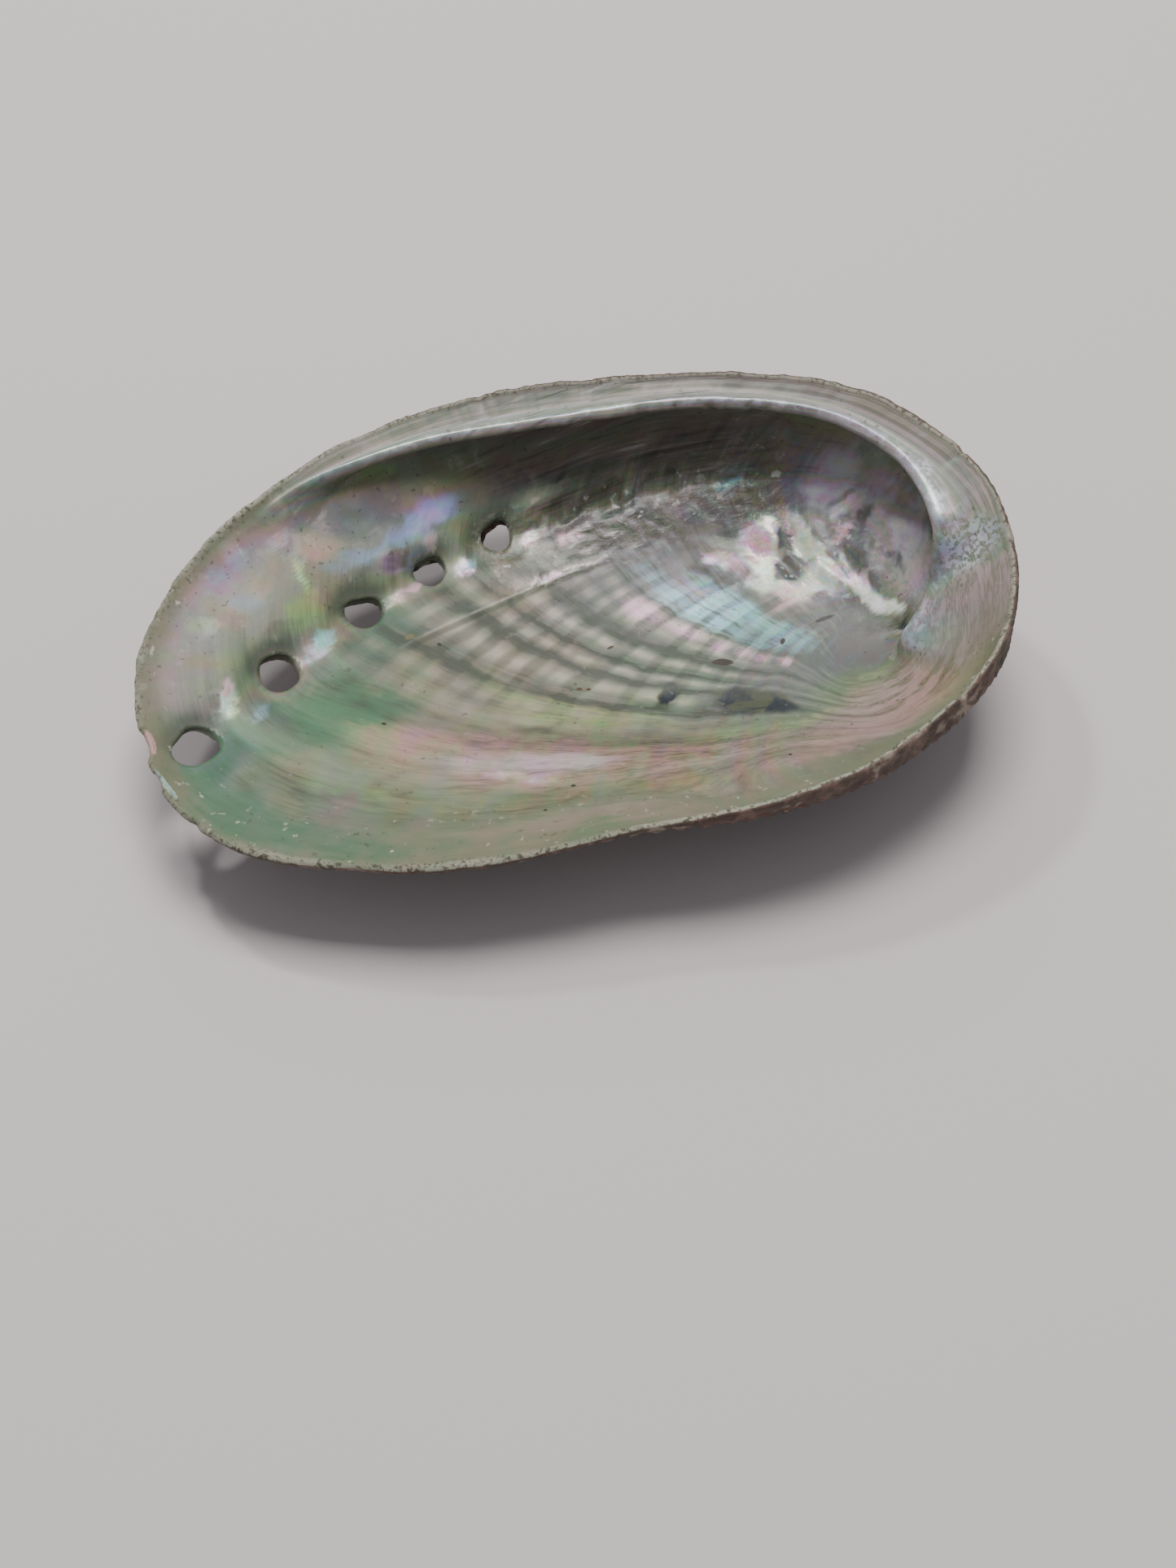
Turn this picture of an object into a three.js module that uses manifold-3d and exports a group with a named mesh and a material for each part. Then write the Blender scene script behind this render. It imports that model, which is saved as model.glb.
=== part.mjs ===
// An abalone shell, lying on its back with the open side up. Millimetres, +Z up.
// The spire is toward +X, the columella ledge runs along the +Y side.
import * as THREE from 'three';
import { mergeVertices } from 'three/addons/utils/BufferGeometryUtils.js';
import Module from 'manifold-3d';

const wasm = await Module();
wasm.setup();

// Driving dimensions
const length = 112; // longest way across the rim
const rimHeight = 18.6; // rim above the surface it rests on, at mid length
const wallThick = 2; // shell wall
const rimThick = 1; // shell wall at the growing edge
const thinFrom = 0.7; // share of the way to the rim where the wall starts to thin
const rings = 22; // rings of facets from the resting point to the rim

// Rim seen from above: radii every 22.5 degrees from +X, as shares of the length
const rimOutline = [
  0.491, 0.446, 0.375, 0.327, 0.32, 0.341, 0.384, 0.442,
  0.496, 0.491, 0.405, 0.342, 0.318, 0.353, 0.416, 0.482,
];
const rimSlope = { x: 0.09, y: 0.085 }; // the rim rises toward the spire and the ledge
const rimLift = 1; // how far both ends of the rim curve up

// Bowl profiles every 45 degrees from +X, as shares of the rim's radius and height
const floorReach = [0.5, 0.55, 0.55, 0.45, 0.3, 0.32, 0.45, 0.5];
const wallReach = [1.03, 1.08, 1.05, 0.92, 0.78, 0.8, 0.9, 1.02];
const wallRise = [0.4, 0.42, 0.42, 0.5, 0.7, 0.72, 0.66, 0.48];
const restPoint = { x: 8.5, y: 1.5 }; // the lowest point, under the centre of mass
const wornDepth = 0.4; // how much is worn away flat at the lowest point

// Spire and the row of breathing holes, a spiral about the apex
const apex = { x: 42.5, y: -4.5 };
const spire = { depth: 3, reach: 9 };
const row = { reach: 91.4, angle: 182.3, curl: 1.14 };
const keel = { height: 0.01, width: 0.04 }; // shares of the distance from the apex
const keelStart = [8, 30]; // distances from the apex over which the keel rises
const keelEnd = [0.9, 1]; // shares of the way to the rim over which it fades
// Each open hole: distance from the apex, sideways shift from the row, half length, half width
const holes = [
  [91.4, -0.7, 2.8, 2.5],
  [80.3, 0.7, 2.7, 2.5],
  [69.8, 0.8, 2.5, 2.2],
  [62.3, 0.1, 2.1, 1.9],
  [55.4, -0.5, 2.1, 1.9],
];
const collar = { wall: 0.8, rise: 1.1, root: 1.1, spread: 0.7 }; // raised lip outside each hole
const holeSides = 16;
const weld = 1e-4; // corners nearer than this are one

// Columella ledge: angle, how far its edge stands in from the rim, how far it drops below it,
// and how far up the wall the cavity reaches under it
const ledge = [
  [-28, 15.5, 15.2, 0.42],
  [-20, 14.8, 15, 0.45],
  [-14, 13.6, 15, 0.48],
  [-10, 12.2, 14.7, 0.52],
  [-8, 10.6, 13.6, 0.56],
  [-6.5, 9.3, 12.2, 0.62],
  [-5, 8.2, 10.2, 0.69],
  [-3, 7.6, 6.6, 0.77],
  [-1, 7.2, 4.2, 0.82],
  [1, 7, 3.4, 0.845],
  [9, 5.6, 3, 0.87],
  [17, 4.5, 2.9, 0.88],
  [28, 4.4, 2.2, 0.88],
  [58, 4.4, 1.9, 0.88],
  [88, 5.1, 1.9, 0.88],
  [114, 4, 1.7, 0.88],
  [131, 3, 1.4, 0.86],
  [146, 1, 0.6, 0.82],
];
const ledgeStart = [-28, -8]; // angles over which the ledge grows out of the plain wall
const footStart = [-60, -30]; // angles over which the facets below it make room
const ledgeEnd = [128, 150]; // angles over which it fades again
const ledgeRings = 5; // rings from the cavity wall over the ledge to the rim
const ledgeCrest = { back: 0.7, up: 1.2 }; // rounded ridge just behind the edge
const ledgeHollow = { inset: 0.5, drop: 0.5, extra: 0.2 }; // shallow trough between ridge and rim

const smooth = (from, to, value) => THREE.MathUtils.smoothstep(value, from, to);
const { degToRad, radToDeg, clamp, euclideanModulo } = THREE.MathUtils;

// Catmull-Rom between b and c, for numbers
function blend(a, b, c, d, t) {
  const bend = 2 * a - 5 * b + 4 * c - d + t * (3 * (b - c) + d - a);
  return b + 0.5 * t * (c - a + t * bend);
}

// Smooth closed curve through values spaced evenly around the shell
function around(values, angle) {
  const count = values.length;
  const place = euclideanModulo(angle / (2 * Math.PI), 1) * count;
  const first = Math.floor(place);
  const pick = (step) => values[(first + step + count) % count];
  return blend(pick(-1), pick(0), pick(1), pick(2), place - first);
}

// Smooth open curve through one column of the ledge rows
function ledgeAt(degrees, column) {
  const last = ledge.length - 1;
  const x = clamp(degrees, ledge[0][0], ledge[last][0]);
  const slope = (i) => {
    const before = ledge[Math.max(i - 1, 0)];
    const after = ledge[Math.min(i + 1, last)];
    return (after[column] - before[column]) / (after[0] - before[0]);
  };
  const i = Math.min(ledge.findLastIndex((r) => r[0] <= x), last - 1);
  const width = ledge[i + 1][0] - ledge[i][0];
  const t = (x - ledge[i][0]) / width;
  const from = ledge[i][column] * (1 + 2 * t) + slope(i) * width * t;
  const to = ledge[i + 1][column] * (3 - 2 * t) + slope(i + 1) * width * (t - 1);
  return from * (1 - t) ** 2 + to * t ** 2;
}

// Plain bowl, w from 0 at the resting point to 1 at the rim
function bowl(angle, w) {
  const radius = around(rimOutline, angle) * length;
  const rimX = radius * Math.cos(angle);
  const rimY = radius * Math.sin(angle);
  const tilt = rimSlope.x * rimX + rimSlope.y * rimY;
  const rimZ = rimHeight + tilt + rimLift * (rimX / (length / 2)) ** 2;
  const near = 3 * (1 - w) ** 2 * w;
  const far = 3 * (1 - w) * w ** 2;
  const out = near * around(floorReach, angle) + far * around(wallReach, angle) + w ** 3;
  const up = far * around(wallRise, angle) + w ** 3;
  const ease = 1 - smooth(0, 1, w);
  return new THREE.Vector3(out * rimX + restPoint.x * ease, out * rimY + restPoint.y * ease, up * rimZ);
}

// Direction square to the bowl, pointing to its open side
function openSide(angle, w) {
  const step = 0.001;
  const at = clamp(w, 2 * step, 1 - step);
  const turn = bowl(angle + step, at).sub(bowl(angle - step, at));
  const climb = bowl(angle, at + step).sub(bowl(angle, at - step));
  return climb.cross(turn).normalize();
}

// Angle of the hole row at a distance from the apex
function rowAngle(distance) {
  return degToRad(row.angle) + row.curl * Math.log(distance / row.reach);
}

// Outside of the shell: the bowl with the keel under the hole row and the low spire
function outside(angle, w) {
  const point = bowl(angle, w);
  const x = point.x - apex.x;
  const y = point.y - apex.y;
  const distance = Math.max(Math.hypot(x, y), 0.001);
  const turn = Math.atan2(y, x) - rowAngle(distance);
  const off = (euclideanModulo(turn + Math.PI, 2 * Math.PI) - Math.PI) / Math.hypot(1, row.curl);
  const fade = smooth(...keelStart, distance) * (1 - smooth(...keelEnd, w));
  const ridge = keel.height * distance * Math.exp(-((off / keel.width) ** 2)) * fade;
  point.addScaledVector(openSide(angle, w), -ridge);
  point.z -= spire.depth * Math.exp(-((distance / spire.reach) ** 2));
  return point;
}

// Inside of the plain wall, under and beside the ledge
function wallInside(angle, w) {
  const thick = THREE.MathUtils.lerp(wallThick, rimThick, smooth(thinFrom, 1, w));
  return outside(angle, w).addScaledVector(openSide(angle, w), thick);
}

// Inside of the shell: the cavity, then the ledge's underside, edge, ridge, trough and the rim
function inside(angle, w) {
  const degrees = euclideanModulo(radToDeg(angle) + 180, 360) - 180;
  const kept = 1 - smooth(...ledgeEnd, degrees);
  const share = smooth(...ledgeStart, degrees) * kept;
  const start = 1 - ledgeRings / rings;
  const push = smooth(...footStart, degrees) * kept * (ledgeAt(degrees, 3) / start - 1);
  if (w <= start) return wallInside(angle, w * (1 + push * (w / start)));

  const inset = ledgeAt(degrees, 1);
  const drop = ledgeAt(degrees, 2);
  const rim = wallInside(angle, 1);
  const fromRim = (inward, down) => {
    const step = new THREE.Vector3(Math.cos(angle) * inward, Math.sin(angle) * inward, down);
    return rim.clone().sub(step);
  };
  const foot = wallInside(angle, start * (1 + push));
  const edge = fromRim(inset, drop);
  const knots = [
    foot,
    foot.clone().lerp(edge, 0.5),
    edge,
    fromRim(inset - ledgeCrest.back, drop - ledgeCrest.up),
    fromRim(inset * ledgeHollow.inset, drop * ledgeHollow.drop + ledgeHollow.extra),
    rim,
  ];
  const past = (w - start) / (1 - start);
  const wall = wallInside(angle, start * (1 + push) * (1 - past) + past);
  return wall.lerp(knots[Math.round(past * ledgeRings)], share);
}

// Facets of both sides: a square grid wrapped into rings, so that no ring is crowded
function shellGeometry() {
  const size = 2 * rings + 1;
  const inner = [];
  const outer = [];
  for (let j = 0; j < size; j++) {
    for (let i = 0; i < size; i++) {
      const a = i - rings;
      const b = j - rings;
      const ring = Math.max(Math.abs(a), Math.abs(b));
      const wide = Math.abs(a) >= Math.abs(b);
      const side = wide ? (a < 0 ? 4 : 0) : (b < 0 ? 6 : 2);
      const part = ring === 0 ? 0 : (wide ? b / a : -a / b);
      const angle = (Math.PI / 4) * (side + part);
      inner.push(inside(angle, ring / rings));
      outer.push(outside(angle, ring / rings));
    }
  }
  const floor = Math.min(...outer.map((p) => p.z)) + wornDepth;
  outer.forEach((p) => p.setZ(Math.max(p.z, floor)));
  const points = [...inner, ...outer];
  points.forEach((p) => p.setZ(p.z - floor));

  const index = [];
  const quad = (a, b, c, d) => index.push(a, b, c, a, c, d);
  const under = size * size;
  for (let j = 0; j < size - 1; j++) {
    for (let i = 0; i < size - 1; i++) {
      const a = j * size + i;
      const corners = [a, a + 1, a + 1 + size, a + size];
      // each quad is split along the line that runs outward
      if ((i < rings) !== (j < rings)) corners.push(corners.shift());
      const [p, q, r, s] = corners;
      quad(p, q, r, s);
      quad(under + p, under + s, under + r, under + q);
    }
  }
  const last = size - 1;
  for (let i = 0; i < last; i++) {
    const edges = [
      [i, i + 1],
      [i * size + last, (i + 1) * size + last],
      [last * size + i + 1, last * size + i],
      [(i + 1) * size, i * size],
    ];
    edges.forEach(([from, to]) => quad(from, under + from, under + to, to));
  }
  const geometry = new THREE.BufferGeometry().setFromPoints(points);
  geometry.setIndex(index);
  return geometry;
}

// Where each hole goes through: a frame with y pointing out of the shell, x along the row
function holeFrames(geometry) {
  const skin = new THREE.Mesh(geometry, new THREE.MeshStandardMaterial());
  const up = new THREE.Vector3(0, 0, 1);
  return holes.map(([distance, shift, halfLong, halfWide]) => {
    const angle = rowAngle(distance) + shift / distance;
    const x = apex.x + distance * Math.cos(angle);
    const y = apex.y + distance * Math.sin(angle);
    const ray = new THREE.Raycaster(new THREE.Vector3(x, y, -length), up);
    const hit = ray.intersectObject(skin)[0];
    const out = hit.face.normal.clone();
    const across = new THREE.Vector3(-Math.sin(angle), Math.cos(angle), 0);
    const along = across.multiplyScalar(row.curl);
    along.add(new THREE.Vector3(Math.cos(angle), Math.sin(angle), 0));
    along.projectOnPlane(out).normalize();
    const frame = new THREE.Matrix4().makeBasis(along, out, along.clone().cross(out));
    frame.setPosition(hit.point);
    return { frame, halfLong, halfWide };
  });
}

function toSolid(geometry) {
  const bare = geometry.clone();
  bare.deleteAttribute('normal');
  bare.deleteAttribute('uv');
  const merged = mergeVertices(bare, weld);
  const mesh = new wasm.Mesh({
    numProp: 3,
    vertProperties: new Float32Array(merged.attributes.position.array),
    triVerts: new Uint32Array(merged.index.array),
  });
  return new wasm.Manifold(mesh);
}

// Elliptical plug: its outer end stands above the shell, its inner end lies below it
function plug({ frame, halfLong, halfWide }, wall, above, below, spread) {
  const height = above + below;
  const geometry = new THREE.CylinderGeometry(1, 1 + spread, height, holeSides);
  geometry.translate(0, (above - below) / 2, 0);
  geometry.scale(halfLong + wall, 1, halfWide + wall);
  geometry.applyMatrix4(frame);
  return toSolid(geometry);
}

function pierce(geometry) {
  let solid = toSolid(geometry);
  const frames = holeFrames(geometry);
  for (const hole of frames) {
    const flare = collar.spread / (hole.halfLong + collar.wall);
    solid = solid.add(plug(hole, collar.wall, collar.rise, collar.root, flare));
  }
  const through = 3 * wallThick;
  for (const hole of frames) {
    solid = solid.subtract(plug(hole, 0, through, through, 0));
  }
  const mesh = solid.getMesh();
  const pierced = new THREE.BufferGeometry();
  pierced.setAttribute('position', new THREE.BufferAttribute(mesh.vertProperties, 3));
  pierced.setIndex(new THREE.BufferAttribute(mesh.triVerts, 1));
  return pierced;
}

// Puts the middle of the shell's length and width over the origin
function centre(geometry) {
  geometry.computeBoundingBox();
  const middle = geometry.boundingBox.getCenter(new THREE.Vector3());
  return geometry.translate(-middle.x, -middle.y, 0);
}

const nacre = new THREE.MeshStandardMaterial({ color: 0x9a9c94, roughness: 0.3, metalness: 0.1 });
const shell = new THREE.Mesh(centre(pierce(shellGeometry())), nacre);
shell.name = 'shell';

const abalone = new THREE.Group();
abalone.add(shell);

export default abalone;
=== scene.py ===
import math
import bpy
import numpy as np
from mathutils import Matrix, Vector


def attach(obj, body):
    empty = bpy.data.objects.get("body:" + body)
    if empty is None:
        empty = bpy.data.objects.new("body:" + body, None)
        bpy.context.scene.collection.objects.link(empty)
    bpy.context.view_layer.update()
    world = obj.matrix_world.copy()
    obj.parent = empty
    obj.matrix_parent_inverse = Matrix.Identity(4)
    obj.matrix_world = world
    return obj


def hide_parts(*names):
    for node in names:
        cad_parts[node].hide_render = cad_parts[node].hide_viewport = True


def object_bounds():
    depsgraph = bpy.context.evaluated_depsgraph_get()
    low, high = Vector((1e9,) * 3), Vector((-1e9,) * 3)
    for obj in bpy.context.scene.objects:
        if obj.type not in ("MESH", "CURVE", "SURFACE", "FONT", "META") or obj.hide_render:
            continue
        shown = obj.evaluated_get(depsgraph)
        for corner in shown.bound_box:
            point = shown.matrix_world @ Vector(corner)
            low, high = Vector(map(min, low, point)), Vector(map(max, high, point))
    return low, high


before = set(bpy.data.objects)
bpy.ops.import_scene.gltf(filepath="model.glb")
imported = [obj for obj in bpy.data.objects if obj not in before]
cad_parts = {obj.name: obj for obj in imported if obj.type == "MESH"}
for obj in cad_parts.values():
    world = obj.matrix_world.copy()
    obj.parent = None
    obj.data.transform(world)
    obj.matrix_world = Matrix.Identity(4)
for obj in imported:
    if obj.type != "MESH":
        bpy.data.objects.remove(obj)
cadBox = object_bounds()

# the shell's form, in millimetres and degrees, as it is built in CAD
shellForm = {
    "length": 112.0,  # longest way across the rim
    "rimHeight": 18.6,  # rim above the table, at mid length
    "wallThick": 2.0,
    "rimThick": 1.0,
    "rimSlopeX": 0.09,  # the rim rises toward the spire and the ledge
    "rimSlopeY": 0.085,
    "rimLift": 1.0,
    "restX": 8.5,  # lowest point
    "restY": 1.5,
    "wornDepth": 0.4,
    "apexX": 42.5,  # axis that the shell coils about
    "apexY": -4.5,
    "spireDepth": 3.0,
    "spireReach": 9.0,
    "rowReach": 91.4,  # apex to the first breathing hole
    "rowAngle": 182.3,
    "rowCurl": 1.14,  # radians turned while the distance grows by a factor e
    "keelHeight": 0.01,
    "keelWidth": 0.04,
    "ringCount": 105,  # rings of faces from the lowest point to the rim
    "wallRows": 5,  # rows of faces round the rim and through the holes
    "lipReach": 1.5,  # the grid is drawn onto a hole's edge from this near
}
rimOutline = [
    0.491, 0.446, 0.375, 0.327, 0.32, 0.341, 0.384, 0.442,
    0.496, 0.491, 0.405, 0.342, 0.318, 0.353, 0.416, 0.482,
]
floorReach = [0.5, 0.55, 0.55, 0.45, 0.3, 0.32, 0.45, 0.5]
wallReach = [1.03, 1.08, 1.05, 0.92, 0.78, 0.8, 0.9, 1.02]
wallRise = [0.4, 0.42, 0.42, 0.5, 0.7, 0.72, 0.66, 0.48]

# open holes: distance from the apex, sideways shift, half length, half width, corner's direction and share
holes = [
    (91.4, -0.7, 2.8, 2.5, 195, 0.22),
    (80.3, 0.7, 2.7, 2.5, 65, 0.2),
    (69.8, 0.8, 2.5, 2.2, 50, 0.22),
    (62.3, 0.1, 2.1, 1.9, 60, 0.12),
    (55.4, -0.5, 2.1, 1.9, 60, 0.16),
]

# ledge inside the far rim: angle, inset of its edge, drop below the rim, reach of the cavity under it
ledgeForm = {
    "rows": [
        (-28, 15.5, 15.2, 0.42),
        (-20, 14.8, 15.0, 0.45),
        (-14, 13.6, 15.0, 0.48),
        (-10, 12.2, 14.7, 0.52),
        (-8, 10.6, 13.6, 0.56),
        (-6.5, 9.3, 12.2, 0.62),
        (-5, 8.2, 10.2, 0.69),
        (-3, 7.6, 6.6, 0.77),
        (-1, 7.2, 4.2, 0.82),
        (1, 7.0, 3.4, 0.845),
        (9, 5.6, 3.0, 0.87),
        (17, 4.5, 2.9, 0.88),
        (28, 4.4, 2.2, 0.88),
        (58, 4.4, 1.9, 0.88),
        (88, 5.1, 1.9, 0.88),
        (114, 4.0, 1.7, 0.88),
        (131, 3.0, 1.4, 0.86),
        (146, 1.0, 0.6, 0.82),
    ],
    "start": (-28, -8),
    "footStart": (-60, -30),
    "end": (128, 150),
    "foot": 17 / 22,  # share of the way up the wall where the ledge takes over
    "crestBack": 0.7,
    "crestUp": 1.2,
}


def smooth(low, high, x):
    t = np.clip((x - low) / (high - low), 0, 1)
    return t * t * (3 - 2 * t)


def bump(x, width):
    return np.exp(-((x / width) ** 2))


def catmullRom(a, b, c, d, t):
    bend = 2 * a - 5 * b + 4 * c - d + t * (3 * (b - c) + d - a)
    return b + 0.5 * t * (c - a + t * bend)


def around(values, angle):
    # smooth closed curve through values spaced evenly around the shell
    v = np.asarray(values, float)
    place = (angle / (2 * np.pi) % 1.0) * len(v)
    first = np.floor(place).astype(int)
    a, b, c, d = (v[(first + step) % len(v)] for step in (-1, 0, 1, 2))
    return catmullRom(a, b, c, d, place - first)


def ledgeAt(degrees):
    # smooth open curves through the ledge's rows
    rows = np.array(ledgeForm["rows"], float)
    at, values = rows[:, 0], rows[:, 1:]
    before = np.maximum(np.arange(len(at)) - 1, 0)
    after = np.minimum(np.arange(len(at)) + 1, len(at) - 1)
    slope = (values[after] - values[before]) / (at[after] - at[before])[:, None]
    x = np.clip(degrees, at[0], at[-1])
    i = np.clip(np.searchsorted(at, x, side="right") - 1, 0, len(at) - 2)
    width = (at[i + 1] - at[i])[..., None]
    t = (x - at[i])[..., None] / width
    first = values[i] * (1 + 2 * t) + slope[i] * width * t
    last = values[i + 1] * (3 - 2 * t) + slope[i + 1] * width * (t - 1)
    result = first * (1 - t) ** 2 + last * t**2
    return result[..., 0], result[..., 1], result[..., 2]


def bowl(angle, w):
    f = shellForm
    radius = around(rimOutline, angle) * f["length"]
    rimX, rimY = radius * np.cos(angle), radius * np.sin(angle)
    rimZ = f["rimHeight"] + f["rimSlopeX"] * rimX + f["rimSlopeY"] * rimY
    rimZ = rimZ + f["rimLift"] * (rimX / (f["length"] / 2)) ** 2
    near, far = 3 * (1 - w) ** 2 * w, 3 * (1 - w) * w**2
    out = near * around(floorReach, angle) + far * around(wallReach, angle) + w**3
    up = far * around(wallRise, angle) + w**3
    ease = 1 - smooth(0, 1, w)
    x = out * rimX + f["restX"] * ease
    y = out * rimY + f["restY"] * ease
    return np.stack([x, y, up * rimZ], -1)


def openSide(angle, w):
    # direction square to the bowl, toward its open side
    step = 0.001
    w = np.clip(w, 2 * step, 1 - step)
    turn = bowl(angle + step, w) - bowl(angle - step, w)
    climb = bowl(angle, w + step) - bowl(angle, w - step)
    n = np.cross(climb, turn)
    return n / np.linalg.norm(n, axis=-1, keepdims=True)


def rowAngle(distance):
    grown = np.log(distance / shellForm["rowReach"])
    return math.radians(shellForm["rowAngle"]) + shellForm["rowCurl"] * grown


def apexPolar(point):
    # distance from the apex, angle about it, and turn away from the row of holes
    x, y = point[..., 0] - shellForm["apexX"], point[..., 1] - shellForm["apexY"]
    distance = np.maximum(np.hypot(x, y), 0.001)
    angle = np.arctan2(y, x)
    off = (angle - rowAngle(distance) + np.pi) % (2 * np.pi) - np.pi
    return distance, angle, off


def outside(angle, w):
    f = shellForm
    point = bowl(angle, w)
    distance, _, off = apexPolar(point)
    across = off / math.hypot(1, f["rowCurl"])
    fade = smooth(8, 30, distance) * (1 - smooth(0.9, 1, w))
    keel = f["keelHeight"] * distance * bump(across, f["keelWidth"]) * fade
    point = point - openSide(angle, w) * keel[..., None]
    point[..., 2] -= f["spireDepth"] * bump(distance, f["spireReach"])
    return point


def wallInside(angle, w):
    f = shellForm
    thick = f["wallThick"] + (f["rimThick"] - f["wallThick"]) * smooth(0.7, 1, w)
    return outside(angle, w) + openSide(angle, w) * thick[..., None]


def inside(angle, w):
    # the cavity, then the ledge's underside, edge, crest, trough and the rim
    degrees = (np.degrees(angle) + 180) % 360 - 180
    share = smooth(*ledgeForm["start"], degrees) * (1 - smooth(*ledgeForm["end"], degrees))
    inset, drop, reach = ledgeAt(degrees)
    start = ledgeForm["foot"]
    hollowed = smooth(*ledgeForm["footStart"], degrees) * (1 - smooth(*ledgeForm["end"], degrees))
    push = hollowed * (reach / start - 1)
    low = np.minimum(w, start)
    cavity = wallInside(angle, low * (1 + push * low / start))
    rim = wallInside(angle, np.maximum(w, 1.0))
    radial = np.stack([np.cos(angle), np.sin(angle)], -1)

    def fromRim(inward, down):
        point = rim.copy()
        point[..., :2] -= radial * inward[..., None]
        point[..., 2] -= down
        return point

    foot = wallInside(angle, start * (1 + push))
    edge = fromRim(inset, drop)
    crest = fromRim(inset - ledgeForm["crestBack"], drop - ledgeForm["crestUp"])
    trough = fromRim(inset * 0.5, drop * 0.5 + 0.2)
    knots = [foot, (foot + edge) / 2, edge, crest, trough, rim]
    knots = np.stack([2 * knots[0] - knots[1]] + knots + [2 * knots[5] - knots[4]])
    place = np.clip((w - start) / (1 - start), 0, 1) * 5
    first = np.minimum(np.floor(place).astype(int), 4)
    spots = tuple(np.indices(first.shape))
    a, b, c, d = (knots[(first + step,) + spots] for step in range(4))
    ledge = catmullRom(a, b, c, d, (place - first)[..., None])
    past = (w - start) / (1 - start)
    wall = wallInside(angle, start * (1 + push) * (1 - past) + past)
    high = wall + (ledge - wall) * share[..., None]
    point = np.where((w < start)[..., None], cavity, high)
    return point, share * smooth(0.5, 3.5, place), share * bump(place - 3, 0.55)


# how the fine surface is worn and marked, in millimetres
wear = {
    "rimWave": 0.35,  # how far the growing edge wanders, mm
    "edgeLift": 0.2,  # how far it wanders up and down
    # waves round the edge: how many, their phase and their share
    "rimWaves": [
        (5, 0.3, 0.5), (9, 1.7, 0.35), (17, 0.6, 0.3), (31, 2.1, 0.28), (53, 4.0, 0.16), (87, 0.9, 0.1),
        (131, 2.6, 0.08), (197, 5.1, 0.08)],
    "liftWaves": [
        (4, 0.9, 0.6), (11, 2.2, 0.4), (23, 0.3, 0.35), (47, 1.1, 0.2), (93, 3.4, 0.12), (171, 0.5, 0.1)],
    "mattReach": [8, 3, 2.5, 3, 4.5, 15, 15, 13],  # width of the matt zone inside the edge, every 45 degrees
    # chips in the edge: angle, depth, half width in degrees
    "chips": [
        (-172, 1.1, 2.2), (-166, 0.7, 1.4), (-158, 0.5, 0.7), (-9, 0.6, 1.0), (-21, 0.5, 0.8),
        (-34, 0.4, 0.9), (8, 0.5, 0.6), (97, 0.2, 0.8), (-128, 0.6, 1.0), (-112, 0.3, 0.6),
        (-96, 0.35, 0.5), (-77, 0.5, 0.8), (-60, 0.5, 1.1), (-47, 0.4, 0.6)],
    # where the spiral cords show inside: x, y, half length, half width, direction
    "corded": (4, 5, 30, 13, -10),
    "holeSpread": 1.1,  # the holes are worn a little wider than in CAD
    "dentDepth": 0.5,  # the shell dips into each breathing hole
    "dentReach": 3.0,
    "collarRise": 0.55,  # raised lip round each hole on the outside
    "collarWidth": 0.9,
    "waist": 0.08,  # the hole is narrowest half way through
    "holeThin": 0.75,  # the shell is thinner round each hole
    "holeFlare": 0.1,  # and the hole is wider on the outside
    "holeUneven": [(3, 1.3, 0.05), (2, 2.1, 0.04)],  # waves round its edge: how many, shift, share
    "holeShadeReach": 2.2,  # painted shade on the side of each hole that lies this way
    "holeShadeToward": (-0.45, 0.89, 0),
    "scarDepth": 1.7,  # multiplies the hollows of the muscle scar
    "knobRise": 1.0,  # closed holes stand up as knobs on the outside
    "whorlRise": 0.45,
    "whorlCurl": 3.0,
    "bluntness": 0.3,  # how far the rim's rounded edge stands out
    "firstReach": 4.576,  # logarithm of the edge's distance from the apex, on the row of holes
    "olderEdge": (0.037, -0.18, 0.29, 0.44),  # outline of the older growing edges
}
# closed holes: distance from the apex, depth inside
closedHoles = [
    (47.6, 0.5), (42.6, 0.45), (37.6, 0.3), (33.0, 0.2), (29.1, 0.1), (25.7, 0.0), (22.7, 0.0),
    (20.0, 0.0), (17.6, 0.0),
]
# hollows between the ridges of the muscle scar: x, y, half length, half width, direction in degrees, depth
scarHollows = [
    (33.6, 13.0, 3.4, 1.0, -76, 0.5),
    (32.0, 10.2, 3.0, 0.8, -70, 0.42),
    (39.6, 6.9, 2.2, 1.1, -80, 0.38),
    (36.6, 12.6, 3.0, 1.0, -78, -0.28),
    (30.4, 15.6, 2.6, 1.5, -60, -0.3),
    (36.4, 7.6, 2.8, 0.8, -62, -0.32),
    (27.0, 12.2, 2.2, 1.3, -50, -0.2),
    (42.0, 4.4, 1.8, 0.9, -70, -0.28),
    (40.6, 14.3, 1.3, 1.2, 0, -0.25),
    (39.4, 11.9, 1.3, 0.7, -10, -0.2),
    (46.6, 9.6, 2.4, 1.3, -60, 0.25),
    (24.4, 15.8, 2.4, 1.0, -35, -0.16),
    (21.2, 12.6, 2.6, 0.8, -40, 0.14),
    (43.6, 8.0, 3.0, 0.7, -78, 0.2),
    (42.2, 11.4, 2.4, 0.7, 55, 0.2),
]
# pits and blisters: x, y, half length, half width, direction, depth
pits = [
    (11.2, -5.2, 1.9, 1.0, 40, 0.35),
    (23.2, -9.2, 5.8, 1.9, -22, 0.16),
    (43.0, -3.4, 1.7, 0.9, 35, 1.2),
]
# the thin crease, from one end to the other
crease = {"from": 66.0, "to": 41.0, "offFrom": 0.17, "offTo": 0.28, "height": 0.13, "width": 0.32}
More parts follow.
